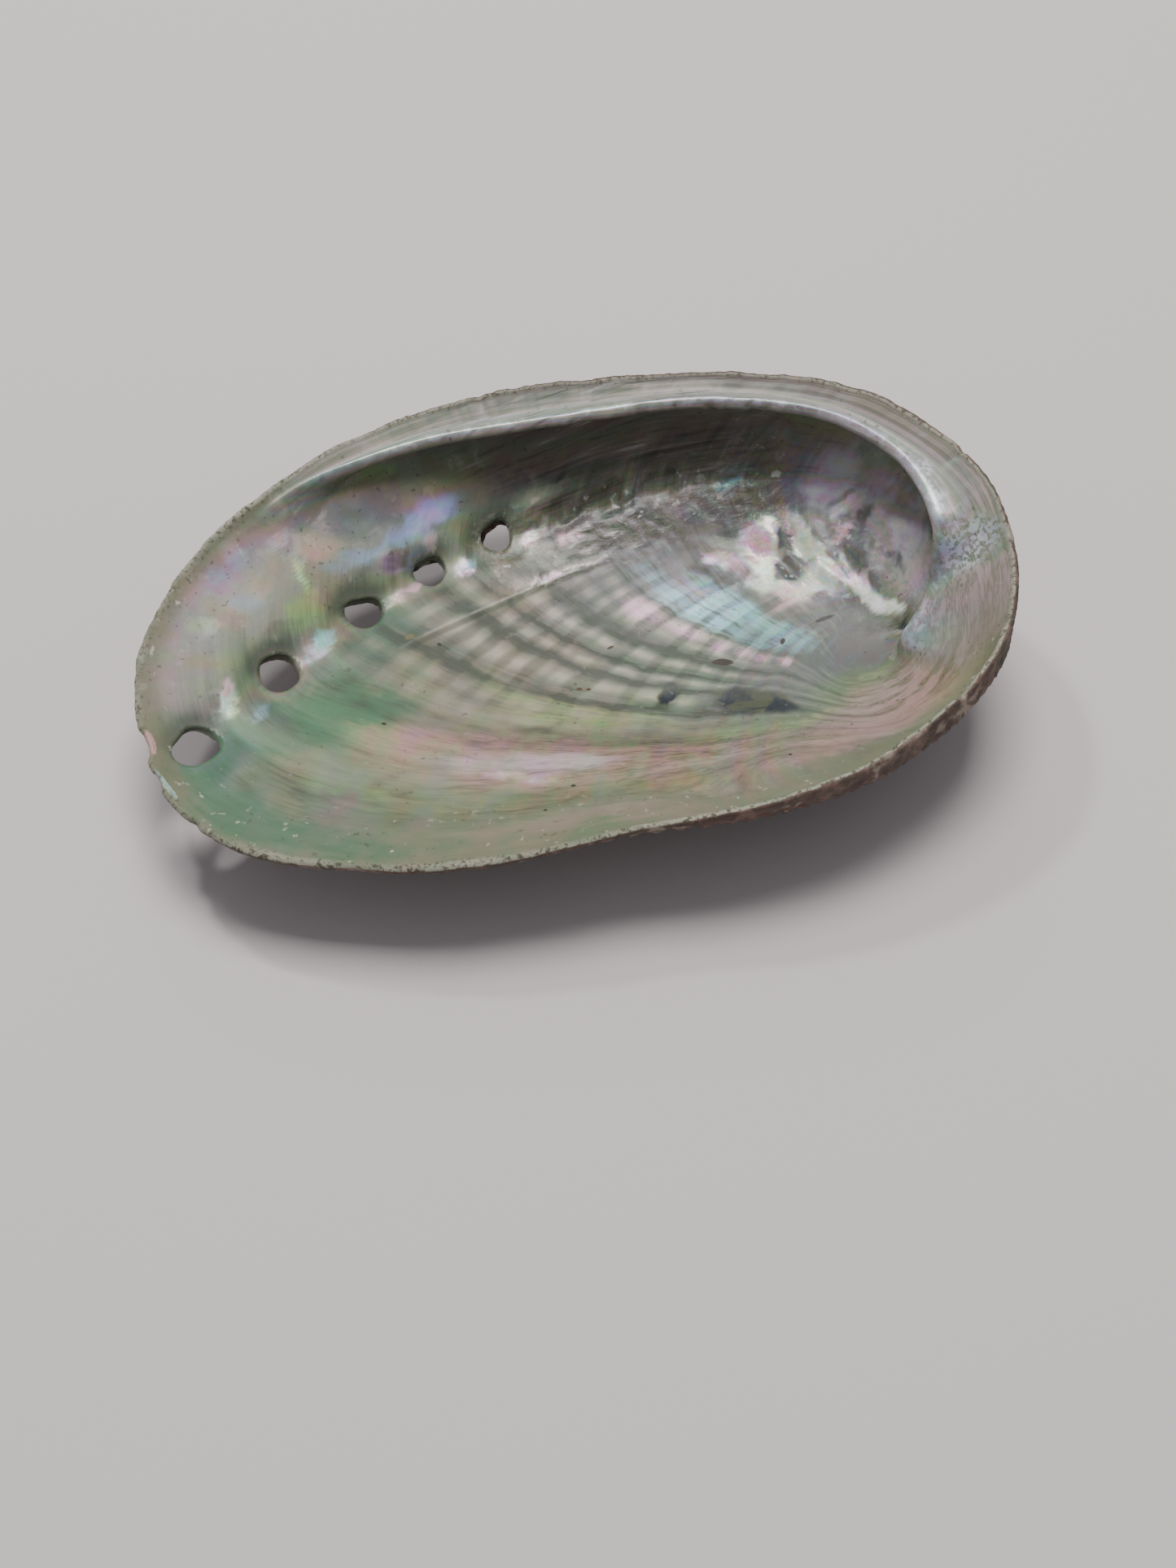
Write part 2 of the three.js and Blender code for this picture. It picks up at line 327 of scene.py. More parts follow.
# step beside the closed holes: its two ends, and the waves along it as number, phase and share
scarp = {
    "height": 0.6,
    "ends": ((26, 32), (53, 57)),
    "scallops": [(2 * math.pi / 0.122, 0.8, 0.9), (97, 0, 0.5)],
    "ridge": 0.22,
    "ridgeBeads": [(190, 0, 0.6), (71, 1, 0.4)],
    "lowerRidge": 0.16,
    "lowerBeads": [(130, 2, 0.8)],
}
# a small ring on the wall, and long soft folds at these ages: place, width, height
ring = {"x": 43.2, "y": 19.5, "radius": 0.85, "height": 0.12, "width": 0.3}
softFolds = [(0.36, 0.05, 0.22), (0.5, 0.035, 0.14), (0.43, 0.03, -0.1)]


def waved(waves, angle):
    return sum(size * np.sin(count * angle + phase) for count, phase, size in waves)


def rimWear(angle):
    # share by which the shell ends short of, or past, its even outline
    radius = 50
    result = wear["rimWave"] * waved(wear["rimWaves"], angle) / radius
    for centre, depth, width in wear["chips"]:
        away = (np.degrees(angle) - centre + 180) % 360 - 180
        result = result - depth / radius * np.exp(-((away / width) ** 4))
    return result


def edgeRise(angle, w):
    return wear["edgeLift"] * waved(wear["liftWaves"], angle) * smooth(0.93, 1, w)


def stretch(angle, w):
    return w * (1 + rimWear(angle) * smooth(0.95, 1, w))


def growthAge(point, angleTable, reachTable):
    # how long ago the growing edge stood here: 0 at the rim, and each unit inward is a factor e smaller
    distance, angle, _ = apexPolar(point)

    def edgeReach(a):
        return np.interp(a % (2 * np.pi), angleTable, reachTable, period=2 * np.pi)

    least, most, pace = 0.02, 1.3, 0.4
    size = distance / edgeReach(angle)
    for _ in range(60):
        turned = angle - shellForm["rowCurl"] * np.log(np.maximum(size, least))
        size = (1 - pace) * size + pace * np.clip(distance / edgeReach(turned), least, most)
    age = -np.log(size)
    # older edges passed closer to the apex on the near side
    off = np.clip(apexPolar(point)[2], 0, 3)
    older = wear["firstReach"] - np.log(distance) - off * np.polyval(wear["olderEdge"], off)
    share = smooth(0.0, 0.3, age) * smooth(0.0, 0.25, off) * (1 - smooth(1.9, 3.1, off))
    return age + (older - age) * share


def blob(x, y, mark):
    # soft elliptical patch, 1 in the middle
    cx, cy, along, across, turn = mark[:5]
    c, s = math.cos(math.radians(turn)), math.sin(math.radians(turn))
    u = ((x - cx) * c + (y - cy) * s) / along
    v = ((y - cy) * c - (x - cx) * s) / across
    return np.exp(-((u * u + v * v) ** 1.5))


def holeFields(inner, outward):
    # for each open hole: how far each point is from its edge, and its place in the hole's own plane
    fields = []
    for number, (distance, sideways, halfLong, halfWide, corner, cornerShare) in enumerate(holes):
        angle = rowAngle(distance) + sideways / distance
        x = shellForm["apexX"] + distance * math.cos(angle)
        y = shellForm["apexY"] + distance * math.sin(angle)
        flat = np.hypot(inner[..., 0] - x, inner[..., 1] - y)
        spot = np.unravel_index(np.argmin(flat), flat.shape)
        normal = outward[spot]
        centre = inner[spot] + np.array([x, y, 0]) - np.array([inner[spot][0], inner[spot][1], 0])
        outOfApex = np.array([math.cos(angle), math.sin(angle), 0])
        roundApex = np.array([-math.sin(angle), math.cos(angle), 0])
        along = outOfApex + shellForm["rowCurl"] * roundApex
        along = along - normal * along.dot(normal)
        along = along / np.linalg.norm(along)
        across = np.cross(normal, along)
        u, v = (inner - centre) @ along, (inner - centre) @ across
        turn = np.arctan2(v, u)
        edge = halfLong * halfWide / np.hypot(halfWide * np.cos(turn), halfLong * np.sin(turn))
        edge = edge * (1 + sum(part * np.cos(count * turn + number * shift)
                               for count, shift, part in wear["holeUneven"]))
        fromCorner = turn + math.radians(corner) - math.atan2(along[1], along[0])
        fromCorner = (fromCorner + np.pi) % (2 * np.pi) - np.pi
        drawnOut = 1.3 * bump(fromCorner, 0.55) - 0.3
        edge = wear["holeSpread"] * edge * (1 + cornerShare * drawnOut)
        field = {"away": np.hypot(u, v) - edge, "edge": edge, "turn": turn}
        field.update({"along": along, "across": across, "centre": centre})
        fields.append(field)
    return fields


def insideMarks(x, y, distance, off, age):
    # height of the inside's own details, toward the open side
    height = np.zeros_like(x)
    across = off * distance / math.hypot(1, shellForm["rowCurl"])
    for mark in scarHollows:
        height -= wear["scarDepth"] * mark[5] * blob(x, y, mark)
    for mark in pits:
        height -= mark[5] * blob(x, y, mark)
    # step beside the closed holes, with a scalloped edge
    grown = np.log(distance)
    nearScarp = across + waved(scarp["scallops"], grown)
    first, last = scarp["ends"]
    along = smooth(*first, distance) * (1 - smooth(*last, distance))
    height += scarp["height"] * smooth(0.5, -0.6, nearScarp) * smooth(-4.5, -0.8, nearScarp) * along
    beads = along * (1 + waved(scarp["ridgeBeads"], grown))
    height += scarp["ridge"] * bump(nearScarp + 0.1, 0.55) * beads
    beads = along * (1 + waved(scarp["lowerBeads"], grown))
    height += scarp["lowerRidge"] * bump(nearScarp + 1.6, 0.4) * beads
    for reach, depth in closedHoles:
        size = 0.036 * reach
        height -= depth * np.exp(-(((distance - reach) ** 2 + (across - 0.8) ** 2) / size**2))
    share = (distance - crease["to"]) / (crease["from"] - crease["to"])
    line = crease["offTo"] + (crease["offFrom"] - crease["offTo"]) * share
    near = (off - line) * distance / math.hypot(1, shellForm["rowCurl"])
    ends = smooth(-0.05, 0.1, share) * (1 - smooth(0.85, 1.02, share))
    height += crease["height"] * (bump(near, crease["width"]) - 0.6 * bump(near - 0.9, 0.5)) * ends
    fromRing = np.hypot(x - ring["x"], y - ring["y"])
    height += ring["height"] * bump(fromRing - ring["radius"], ring["width"])
    folds = sum(rise * bump(age - at, width) for at, width, rise in softFolds)
    height += folds * bump(off - 0.75, 0.5)
    return height


def outsideMarks(distance, angle, off):
    # height of the outside's own details, away from the shell
    across = off * distance / math.hypot(1, shellForm["rowCurl"])
    height = np.zeros_like(distance)
    for reach, _ in closedHoles:
        size = 0.042 * reach
        knob = np.exp(-((((distance - reach) / 1.1) ** 2 + across**2) / size**2) ** 1.4)
        height += wear["knobRise"] * reach / 48 * knob
    whorl = (angle - wear["whorlCurl"] * np.log(distance / 11.0)) % (2 * np.pi) / (2 * np.pi)
    step = smooth(0, 0.12, whorl) * (1 - 0.8 * whorl)
    height += wear["whorlRise"] * step * (1 - smooth(9, 14, distance)) * smooth(0.6, 2.5, distance)
    return height


def gridAngles():
    # a square grid wrapped into rings, so that no ring is crowded at the lowest point
    count = shellForm["ringCount"]
    steps = np.arange(-count, count + 1)
    i, j = np.meshgrid(steps, steps)
    wide = abs(i) >= abs(j)
    side = np.where(wide, np.where(i < 0, 4, 0), np.where(j < 0, 6, 2))
    base = np.where(wide, i, j)
    part = np.where(wide, j, -i) / np.where(base == 0, 1, base)
    return np.pi / 4 * (side + part), np.maximum(abs(i), abs(j)) / count


# colours of the mother of pearl, and where each gathers: x, y, half length, half width, direction, strength;
# a few of them are painted shade and painted light, as marked
tints = {
    "clay": {"colour": (143, 129, 126), "patches": [
        (-38, 16, 12, 7, 45, 0.9), (-49, 4, 6, 9, -15, 0.7), (-22, 24, 12, 5, 28, 0.7)]},
    "teal": {"colour": (72, 112, 86), "patches": [
        (-36, -5, 14, 6, 15, 0.95), (-49, -11, 5, 4, 0, 0.8), (-46, -19, 8, 4, -50, 0.8),
        (-38, -25, 11, 4, -22, 0.7), (-26, 6, 9, 3.5, 35, 0.7), (-22, 11, 7, 4, 50, 0.6),
        (-12, 16, 7, 3, -45, 0.5), (-27, -3, 8, 3.5, 10, 0.6), (-3, 26, 5, 1.5, 10, 0.5),
        (-12, 3, 12, 3, -30, 0.35), (-31, -14, 6, 2, -20, 0.4), (-26, -30, 12, 2, -10, 0.4)]},
    "leaf": {"colour": (138, 154, 104), "patches": [
        (-33, 12.5, 3.5, 2.6, 70, 0.95), (-32, 17, 2.6, 1.4, 80, 0.7), (-3, -5, 8, 2, -15, 0.8),
        (6, -9, 8, 1.6, -22, 0.6), (-9, -1, 6, 2, -30, 0.4), (-50, 6, 3, 3.5, 80, 0.35),
        (-44.5, 4.6, 3.5, 2, 40, 0.45), (38, -10.5, 8, 1.1, 26, 0.5), (30, -16, 9, 1.0, 8, 0.6),
        (43, -17, 6, 0.9, 32, 0.6), (-24, -9, 9, 4, -10, 0.6), (-32, -17, 8, 3, -20, 0.5),
        (5, -26, 22, 3, 0, 0.35), (36.6, 4.4, 1.6, 0.9, -60, 0.8), (34.4, 10.2, 1.6, 0.6, -65, 0.6),
        (26, 24, 3, 2, 0, 0.6), (-19, 31, 6, 1.5, 20, 0.6), (22, -16, 14, 1.2, 2, 0.5)]},
    "rose": {"colour": (168, 141, 132), "patches": [
        (-13, -13, 12, 4.5, -12, 0.95), (-6, -15, 7, 4, -15, 0.6), (10, -18, 17, 4, -3, 0.75),
        (38, -17, 11, 6, 12, 0.85), (-29, 22, 3.4, 2.2, 20, 1.0), (-35, 21, 4, 2, 30, 0.6),
        (-40, 15, 4, 3, 40, 0.8), (22, -22, 20, 3, 0, 0.5), (-46, 15, 4, 2.5, 50, 0.6),
        (50, -12, 5, 9, -10, 0.75), (40, -21, 8, 3, 28, 0.5), (-51, 0, 2.5, 5, 0, 0.5),
        (5, 22, 3, 2, 0, 0.5), (1.1, 16.3, 1.4, 0.7, 20, 0.9)]},
    "lilac": {"colour": (156, 150, 188), "patches": [
        (-19, 22, 5, 2.2, 30, 1.0), (-14, 26, 5, 2.0, 30, 0.8), (-25, 20.5, 4, 1.6, 25, 0.6),
        (-39, 14, 3, 2, 40, 0.5), (-42, 17, 4, 2, 45, 0.4), (34, -4, 12, 3, -8, 0.3),
        (14, 22, 12, 4, -10, 0.3), (36, 20, 6, 3, -40, 0.5)]},
    "ash": {"colour": (102, 104, 101), "patches": [
        (12, 20.5, 17, 4.6, -4, 1.0), (31, -4, 15, 5, -14, 1.0), (38, 18, 9, 4, -35, 0.6),
        (-22, 26, 9, 2.5, 22, 0.8), (-30, 26.4, 5, 2, 35, 0.7), (8, 8, 10, 8, -40, 0.4),
        (22, 18, 6, 4, -20, 0.8), (24, 11.5, 4, 2, -40, 0.5), (43, 6, 3, 7, 0, 0.5),
        (36, 1.5, 4, 2, -25, 0.8), (14, 14, 14, 3.6, -15, 0.75), (3, 13, 8, 3, 5, 0.5),
        (39, 9, 6, 9, -10, 0.95), (30, 7, 7, 6, -50, 0.8)]},
    # pale mauve nacre; on the right wall under the ledge it is painted lighter, as painted light against the
    # ledge's shade
    "mauveAndPaintedLight": {"colour": (196, 178, 190), "patches": [
        (45, 10, 3, 9, -10, 0.5), (40, 17, 5, 4, -40, 0.7), (22, 24, 10, 3, -15, 0.4),
        (-24, 23, 8, 3, 25, 0.3), (47, 3, 2.5, 7, -10, 0.6)]},
    # pale silvery nacre, with painted highlights on the ridges of the muscle scar, the crease, the fold and
    # beside the holes
    "silverAndHighlight": {"colour": (250, 246, 248), "patches": [
        (29.6, 15.0, 3.0, 3.0, -50, 1.0), (34.8, 13.2, 5.0, 1.7, -72, 1.0),
        (28.4, 10.2, 3.4, 2.0, -62, 0.9), (35.2, 6.2, 3.4, 2.2, -65, 1.0),
        (40.2, 3.6, 5.2, 1.3, -60, 1.0), (31, 8, 5, 2.2, -55, 0.6), (43, -0.6, 2.6, 0.6, -60, 1.0),
        (38.6, 8.6, 1.2, 1.6, 0, 0.8), (24, 14.2, 2.6, 1.2, -40, 0.8), (2, 17.6, 7, 0.5, 14, 0.9),
        (-9.8, 19.9, 2.0, 1.5, 40, 0.8), (-44.7, -1.6, 2.8, 1.1, 58, 0.75),
        (-32.5, 6.8, 3.2, 1.3, 50, 0.65), (-20, 15.3, 2.6, 0.8, 45, 0.6), (-14, 25.2, 3.4, 1.4, 32, 0.5),
        (-32, 17.5, 2.6, 1.2, 78, 0.5), (-45.5, 10, 2.6, 1.8, 20, 0.4),
        (-40.7, 19.9, 2.4, 1.6, 35, 0.35), (-34.7, 21.8, 2.6, 1.4, 30, 0.45),
        (-11, -17.8, 6, 1.4, -22, 0.5), (-1, 23, 2, 1.2, 0, 0.8), (40.2, 14.1, 1.2, 1.0, 0, 0.7)]},
    "cyan": {"colour": (138, 192, 202), "patches": [
        (-31.5, 8.5, 2.2, 1.2, 60, 0.9), (36, 5, 2.6, 1.5, -60, 0.5), (-9.5, 20.6, 1.5, 1, 0, 0.6),
        (-41.5, -3.2, 2.4, 1.0, 40, 0.6), (29, 0, 5, 2, -35, 0.6), (27, 24, 2.4, 1.4, 0, 0.6)]},
    "pink": {"colour": (224, 172, 194), "patches": [
        (28.6, 14.5, 1.8, 1.8, 60, 0.85), (33.6, 15.4, 1.4, 0.7, -60, 0.7),
        (39.4, 11.9, 1.6, 0.8, 0, 0.8), (-44.7, 0, 1.6, 0.9, 60, 0.9), (31, 6, 2, 3, -60, 0.5),
        (-17.8, 17, 1.2, 0.8, 50, 0.7), (4.7, 22, 1.6, 1.0, 60, 0.6), (-13.6, 24, 1.4, 0.8, 30, 0.5)]},
    "ochre": {"colour": (144, 134, 96), "patches": [
        (-48, 3, 6, 9, -15, 0.4), (-20, -23, 18, 3, -5, 0.3), (38.5, 3.4, 1.4, 2.2, 20, 0.5),
        (-19, 8.3, 1.5, 1.0, 0, 0.5), (-46.5, 4.5, 1.4, 2.4, 80, 0.6), (-47, 10, 1.5, 1.5, 0, 0.4),
        (-29, 17, 2, 2, 0, 0.3), (8, -24, 16, 2, -4, 0.5), (44, -22, 6, 3, 35, 0.5)]},
    "plum": {"colour": (100, 84, 92), "patches": [(27, 28, 9, 4, -20, 0.8), (2, 30, 9, 3, 0, 0.5)]},
    # painted shade: darkens the hollows of the muscle scar and a few other dips
    "paintedHollowShade": {"colour": (86, 84, 86), "patches": [
        (32.6, 13.6, 3.2, 1.2, -76, 1.0), (30.9, 10.4, 3.0, 1.1, -66, 1.0),
        (37.6, 8.8, 2.6, 0.7, -62, 0.8), (36.4, 2.6, 3.2, 1.2, -30, 0.8), (43.6, 12, 2.0, 3.4, 0, 0.2),
        (34.6, 3.6, 3.4, 0.6, -62, 0.6), (38.4, 6.4, 2.6, 0.5, -60, 0.6), (38.5, -1.5, 5, 1.4, -20, 0.6),
        (42.2, 11.4, 2.4, 0.5, 55, 0.8), (43.6, 8.0, 3.0, 0.5, -78, 0.8),
        (45.0, 3.8, 2.6, 0.5, -60, 0.7), (41.0, 15.6, 2.6, 0.5, 10, 0.6), (25.5, 17.0, 3, 1, -20, 0.6),
        (28.6, 5.6, 2.6, 0.8, -50, 0.5), (-21, 20.4, 9, 1.4, 30, 0.6), (-35, 10.6, 3, 1.2, 35, 0.5)]},
    # painted shade: darkens the wall under the ledge, where the ledge shades it
    "shade": {"colour": (98, 90, 78), "patches": [
        (15, 32, 26, 5, -6, 1.0), (38, 24, 8, 4, -50, 0.35), (-14, 31, 10, 2, 10, 0.4),
        (6, 26.5, 9, 1.2, 5, 0.7), (24, 27, 9, 2, -20, 0.6)]},
    "blister": {"colour": (26, 36, 44), "patches": [
        (11.2, -5.2, 3.0, 1.4, 48, 1.0), (43.4, -2.8, 1.3, 0.6, 10, 0.9)]},
}
# tints that follow the growth: age, turn from the row of holes in degrees, half widths of both, strength
grownTints = {
    "pink": [
        (0.685, 38, 0.035, 9, 0.9), (0.69, 56, 0.03, 7, 0.9), (0.68, 72, 0.035, 5, 0.9),
        (0.685, 84, 0.03, 5, 0.8), (0.68, 96, 0.03, 6, 0.7), (0.69, 114, 0.03, 8, 0.6)],
    "cyan": [(0.78, 52, 0.05, 26, 1.0), (0.88, 60, 0.06, 24, 0.9), (0.75, 90, 0.03, 16, 0.5)],
    "lilac": [(0.85, 36, 0.05, 9, 0.9), (0.87, 82, 0.05, 12, 0.6)],
    "mauveAndPaintedLight": [(0.165, 48, 0.028, 20, 0.7)],
    "rose": [(0.16, 48, 0.045, 30, 1.0), (0.19, 30, 0.03, 12, 0.6), (0.07, 90, 0.05, 60, 0.5)],
    "leaf": [(0.3, 50, 0.05, 22, 0.6), (0.41, 50, 0.025, 30, 0.5), (0.25, 95, 0.03, 25, 0.5)],
    "blister": [
        (0.415, 105, 0.058, 22, 1.0), (0.365, 116, 0.05, 20, 0.9), (0.47, 97, 0.035, 11, 0.8),
        (0.25, 42, 0.02, 7, 0.45)],
    "ash": [(0.75, 118, 0.3, 30, 0.9), (1.0, 95, 0.12, 30, 0.9), (0.42, 110, 0.12, 32, 0.8)],
}
# bands of growth: age, half width, and strength, dark above 0 and light below
growthBands = [
    (0.064, 0.012, 0.4), (0.092, 0.01, 0.5), (0.128, 0.014, -0.7), (0.215, 0.011, 0.7),
    (0.27, 0.018, -0.45), (0.312, 0.014, -0.4), (0.348, 0.014, 0.9), (0.41, 0.024, -0.65),
    (0.453, 0.011, 0.85), (0.484, 0.011, -0.45), (0.511, 0.007, 0.55), (0.553, 0.015, -0.6),
    (0.594, 0.015, 1.0), (0.645, 0.018, -0.45), (0.7, 0.016, -0.55), (0.732, 0.004, 0.6),
    (0.754, 0.007, 0.4), (0.806, 0.005, 0.6), (0.832, 0.004, 0.4), (0.86, 0.005, 0.3),
    (0.911, 0.008, 0.7), (1.0, 0.02, -0.4), (1.035, 0.012, 0.6),
]
# where the surface is finely wrinkled, where it is drawn out in streaks, and where the end of the ledge gets
# a painted highlight
texture = {
    "wrinkled": [
        (8, 21.5, 15, 4.2, 4, 1.0), (28, 21, 8, 4.6, -28, 0.9), (-4, 24, 4, 3, 20, 0.6),
        (32, 11, 9, 6, -50, 0.3), (41, 8, 4, 8, 0, 0.4)],
    "rubbedAndHighlight": [(50.4, -3.7, 4.0, 2.4, -66, 1.0), (47.6, 5.0, 5.0, 0.9, -80, 0.8)],
    "streaky": [(16, -18, 34, 6, 2, 1.0), (42, -14, 9, 8, 20, 1.0), (-10, -15, 16, 5, -12, 0.5)],
}


def wander(x, y):
    # bends the places of the patches, so that none has an even outline
    for size, count, turn in ((0.5, 0.42, 0.4), (0.35, 0.95, 1.9), (0.3, 2.1, 3.1), (0.2, 3.7, 5.0)):
        wave = count * (x * math.cos(turn) + y * math.sin(turn)) + 7 * turn
        across = count * (y * math.cos(turn) - x * math.sin(turn)) + 3 * turn
        x, y = x + size * np.sin(wave + np.sin(across)), y + size * 0.7 * np.cos(across + np.sin(wave * 0.7))
    return x, y


def tintFields(points, age, off):
    x, y = wander(points[..., 0], points[..., 1])
    fields = {}
    patches = {name: tint["patches"] for name, tint in tints.items()}
    for name, marks in {**patches, **texture}.items():
        left = np.ones_like(x)
        for mark in marks:
            left = left * (1 - mark[5] * blob(x, y, mark))
        for at, turn, long, wide, strength in grownTints.get(name, []):
            spread = ((age - at) / long) ** 2 + ((np.degrees(off) - turn) / wide) ** 2
            left = left * (1 - strength * np.exp(-(spread**1.5)))
        fields[name] = 1 - left
    return fields


def crowding(points, age):
    # how fast the age changes along the grid, per millimetre
    total = 0
    for axis in (0, 1):
        length = np.linalg.norm(np.gradient(points, axis=axis), axis=-1)
        total = total + (np.gradient(age, axis=axis) / np.maximum(length, 0.05)) ** 2
    return np.sqrt(total)


def shellSides():
    # points of the inside and the outside, and facts about each point that the finish is drawn from
    angle, w = gridAngles()
    reach = stretch(angle, w)
    up = openSide(angle, w)
    inner, ledge, crest = inside(angle, w)
    inner = inner + (wallInside(angle, reach) - wallInside(angle, w)) * smooth(0.95, 1, w)[..., None]
    outer = outside(angle, reach)
    for points in (inner, outer):
        points[..., 2] += edgeRise(angle, w)

    allRound = np.linspace(0, 2 * np.pi, 1441)
    rimReach, rimAngle, _ = apexPolar(outside(allRound, np.ones(len(allRound))))
    order = np.argsort(rimAngle % (2 * np.pi))
    rimTable = (rimAngle % (2 * np.pi))[order], rimReach[order]
    facts = []
    for points in (inner, outer):
        distance, turn, off = apexPolar(points)
        facts.append({"reach": distance, "turn": turn, "off": off, "age": growthAge(points, *rimTable)})

    fields = holeFields(inner, -up)
    away = np.min([field["away"] for field in fields], axis=0)
    # painted shade on the far side of each open hole
    holeShade = np.zeros(w.shape)
    for field in fields:
        toFar = (inner - field["centre"]) @ np.array(wear["holeShadeToward"])
        spot = bump(np.maximum(field["away"], 0), wear["holeShadeReach"]) * smooth(-0.5, 2.5, toFar)
        holeShade = np.maximum(holeShade, spot)
    dent = wear["dentDepth"] * bump(np.maximum(away, 0), wear["dentReach"])
    collar = wear["collarRise"] * bump(away - 0.5, wear["collarWidth"])
    within, without = facts
    marks = insideMarks(inner[..., 0], inner[..., 1], within["reach"], within["off"], within["age"])
    marks = marks * (1 - ledge) * smooth(0, 1.5, away)
    inner = inner + up * (marks - dent)[..., None]
    marks = outsideMarks(without["reach"], without["turn"], without["off"]) * smooth(0, 2, away)
    thin = wear["holeThin"] * bump(np.maximum(away, 0), 3.5)
    outer = outer - up * (marks + dent + collar - thin)[..., None]

    floor = outer[..., 2].min() + shellForm["wornDepth"]
    worn = smooth(1.1, 0.1, outer[..., 2] - floor)
    outer[..., 2] = np.maximum(outer[..., 2], floor)
    inner[..., 2] -= floor
    outer[..., 2] -= floor
    for field in fields:
        field["centre"] = field["centre"] - np.array([0, 0, floor])
    edge = outside(angle, np.ones(w.shape)) - np.array([0, 0, floor])
    mattReach = around(wear["mattReach"], angle)
    for f, points, side in zip(facts, (inner, outer), (0.0, 1.0)):
        crowded = smooth(0.09, 0.17, crowding(points, f["age"]))
        f["free"] = smooth(0, 1.5, away) * (1 - crowded) * (1 - ledge * (1 - side)) * (1 - worn * side)
        f["alongRow"], f["acrossRow"] = np.cos(f["off"]), np.sin(f["off"])
        fromRim = np.linalg.norm(points - edge, axis=-1)
        f.update({"outside": np.full(w.shape, side), "rim": fromRim, "hole": away})
        f["matt"] = smooth(1.0, 0.3, fromRim / mattReach) * (1 - ledge * (1 - side))
        f.update({"ledge": ledge * (1 - side), "crest": crest * (1 - side), "worn": worn * side})
        f["holeShade"] = holeShade * (1 - side)
        f["corded"] = blob(points[..., 0], points[..., 1], wear["corded"]) * smooth(14, 26, f["reach"])
        f.update(tintFields(points, f["age"], f["off"]))
        for name in ("turn", "off"):
            del f[name]
    return inner, outer, facts, fields, away, angle, w


def openHoles(inner, outer, fields, away):
    # which faces of the grid are open, with the grid drawn onto each hole's edge
    size = len(away)
    middle = (away[:-1, :-1] + away[1:, :-1] + away[:-1, 1:] + away[1:, 1:]) / 4
    gone = middle < 0
    nearGone = np.zeros(away.shape, bool)
    nearKept = np.zeros(away.shape, bool)
    for di in (0, 1):
        for dj in (0, 1):
            window = (slice(di, size - 1 + di), slice(dj, size - 1 + dj))
            nearGone[window] |= gone
            nearKept[window] |= ~gone
    lip = nearGone & nearKept
    for f in fields:
        mine = lip & (abs(f["away"]) < shellForm["lipReach"])
        edge, turn = f["edge"][mine][:, None], f["turn"][mine][:, None]
        normal = np.cross(f["along"], f["across"])
        for grid, flare in ((inner, 0), (outer, wear["holeFlare"])):
            height = ((grid[mine] - f["centre"]) @ normal)[:, None]
            outline = (1 + flare) * edge * (np.cos(turn) * f["along"] + np.sin(turn) * f["across"])
            grid[mine] = f["centre"] + outline + height * normal
    loose = (away < 1.6) & ~lip  # these are evened out between their neighbours
    for _ in range(6):
        for grid in (inner, outer):
            mean = sum(np.roll(grid, step, axis) for step in (1, -1) for axis in (0, 1)) / 4
            grid[loose] = (grid[loose] + mean[loose]) / 2
    return ~gone


def edgeDirections(fields, angle, w):
    # the way that the wall between the two sides bulges: outward at the rim, into the hole at a hole
    direction = outside(angle, np.ones(w.shape)) - outside(angle, np.full(w.shape, 0.98))
    direction = direction / np.linalg.norm(direction, axis=-1, keepdims=True) * wear["bluntness"]
    for f in fields:
        mine = (abs(f["away"]) < shellForm["lipReach"]) & (w < 1)
        turn = f["turn"][mine][:, None]
        direction[mine] = -wear["waist"] * (np.cos(turn) * f["along"] + np.sin(turn) * f["across"])
    return direction


def shellMesh():
    inner, outer, facts, fields, away, angle, w = shellSides()
    kept = openHoles(inner, outer, fields, away)
    size = len(w)
    total = size * size
    number = np.arange(total).reshape(size, size)
    corners = number[:-1, :-1], number[:-1, 1:], number[1:, 1:], number[1:, :-1]
    quads = np.stack(corners, -1)[kept]

    # edges that only one face has: the rim and the holes
    edges = np.concatenate([quads[:, [k, (k + 1) % 4]] for k in range(4)])
    code, back = edges[:, 0] * total + edges[:, 1], edges[:, 1] * total + edges[:, 0]
    border = edges[~np.isin(code, back)]
    ids = np.unique(border)
    rows = shellForm["wallRows"]
    bulge = edgeDirections(fields, angle, w).reshape(-1, 3)[ids]
    first, last = inner.reshape(-1, 3), outer.reshape(-1, 3)
    points = [first, last]
    values = {name: [facts[0][name].ravel(), facts[1][name].ravel()] for name in facts[0]}
    for row in range(1, rows):
        t = row / rows
        points.append(first[ids] * (1 - t) + last[ids] * t + bulge * math.sin(math.pi * t))
        for parts in values.values():
            parts.append(parts[0][ids] * (1 - t) + parts[1][ids] * t)
    place = np.full(total, -1)
    place[ids] = np.arange(len(ids))
    walls = []

    def rung(ends, row):
        # the border's points, a number of rows away from the inside
        if row == 0:
            return ends
        return ends + total if row == rows else 2 * total + (row - 1) * len(ids) + place[ends]

    for row in range(rows):
        p, q = border[:, 0], border[:, 1]
        walls.append(np.stack([rung(q, row), rung(p, row), rung(p, row + 1), rung(q, row + 1)], -1))
    faces = np.concatenate([quads, quads[:, ::-1] + total] + walls)
    points = np.concatenate(points)
    values = {name: np.concatenate(parts) for name, parts in values.items()}
    used, faces = np.unique(faces, return_inverse=True)
    faces = faces.reshape(-1, 4)
    return points[used], faces, {name: part[used] for name, part in values.items()}


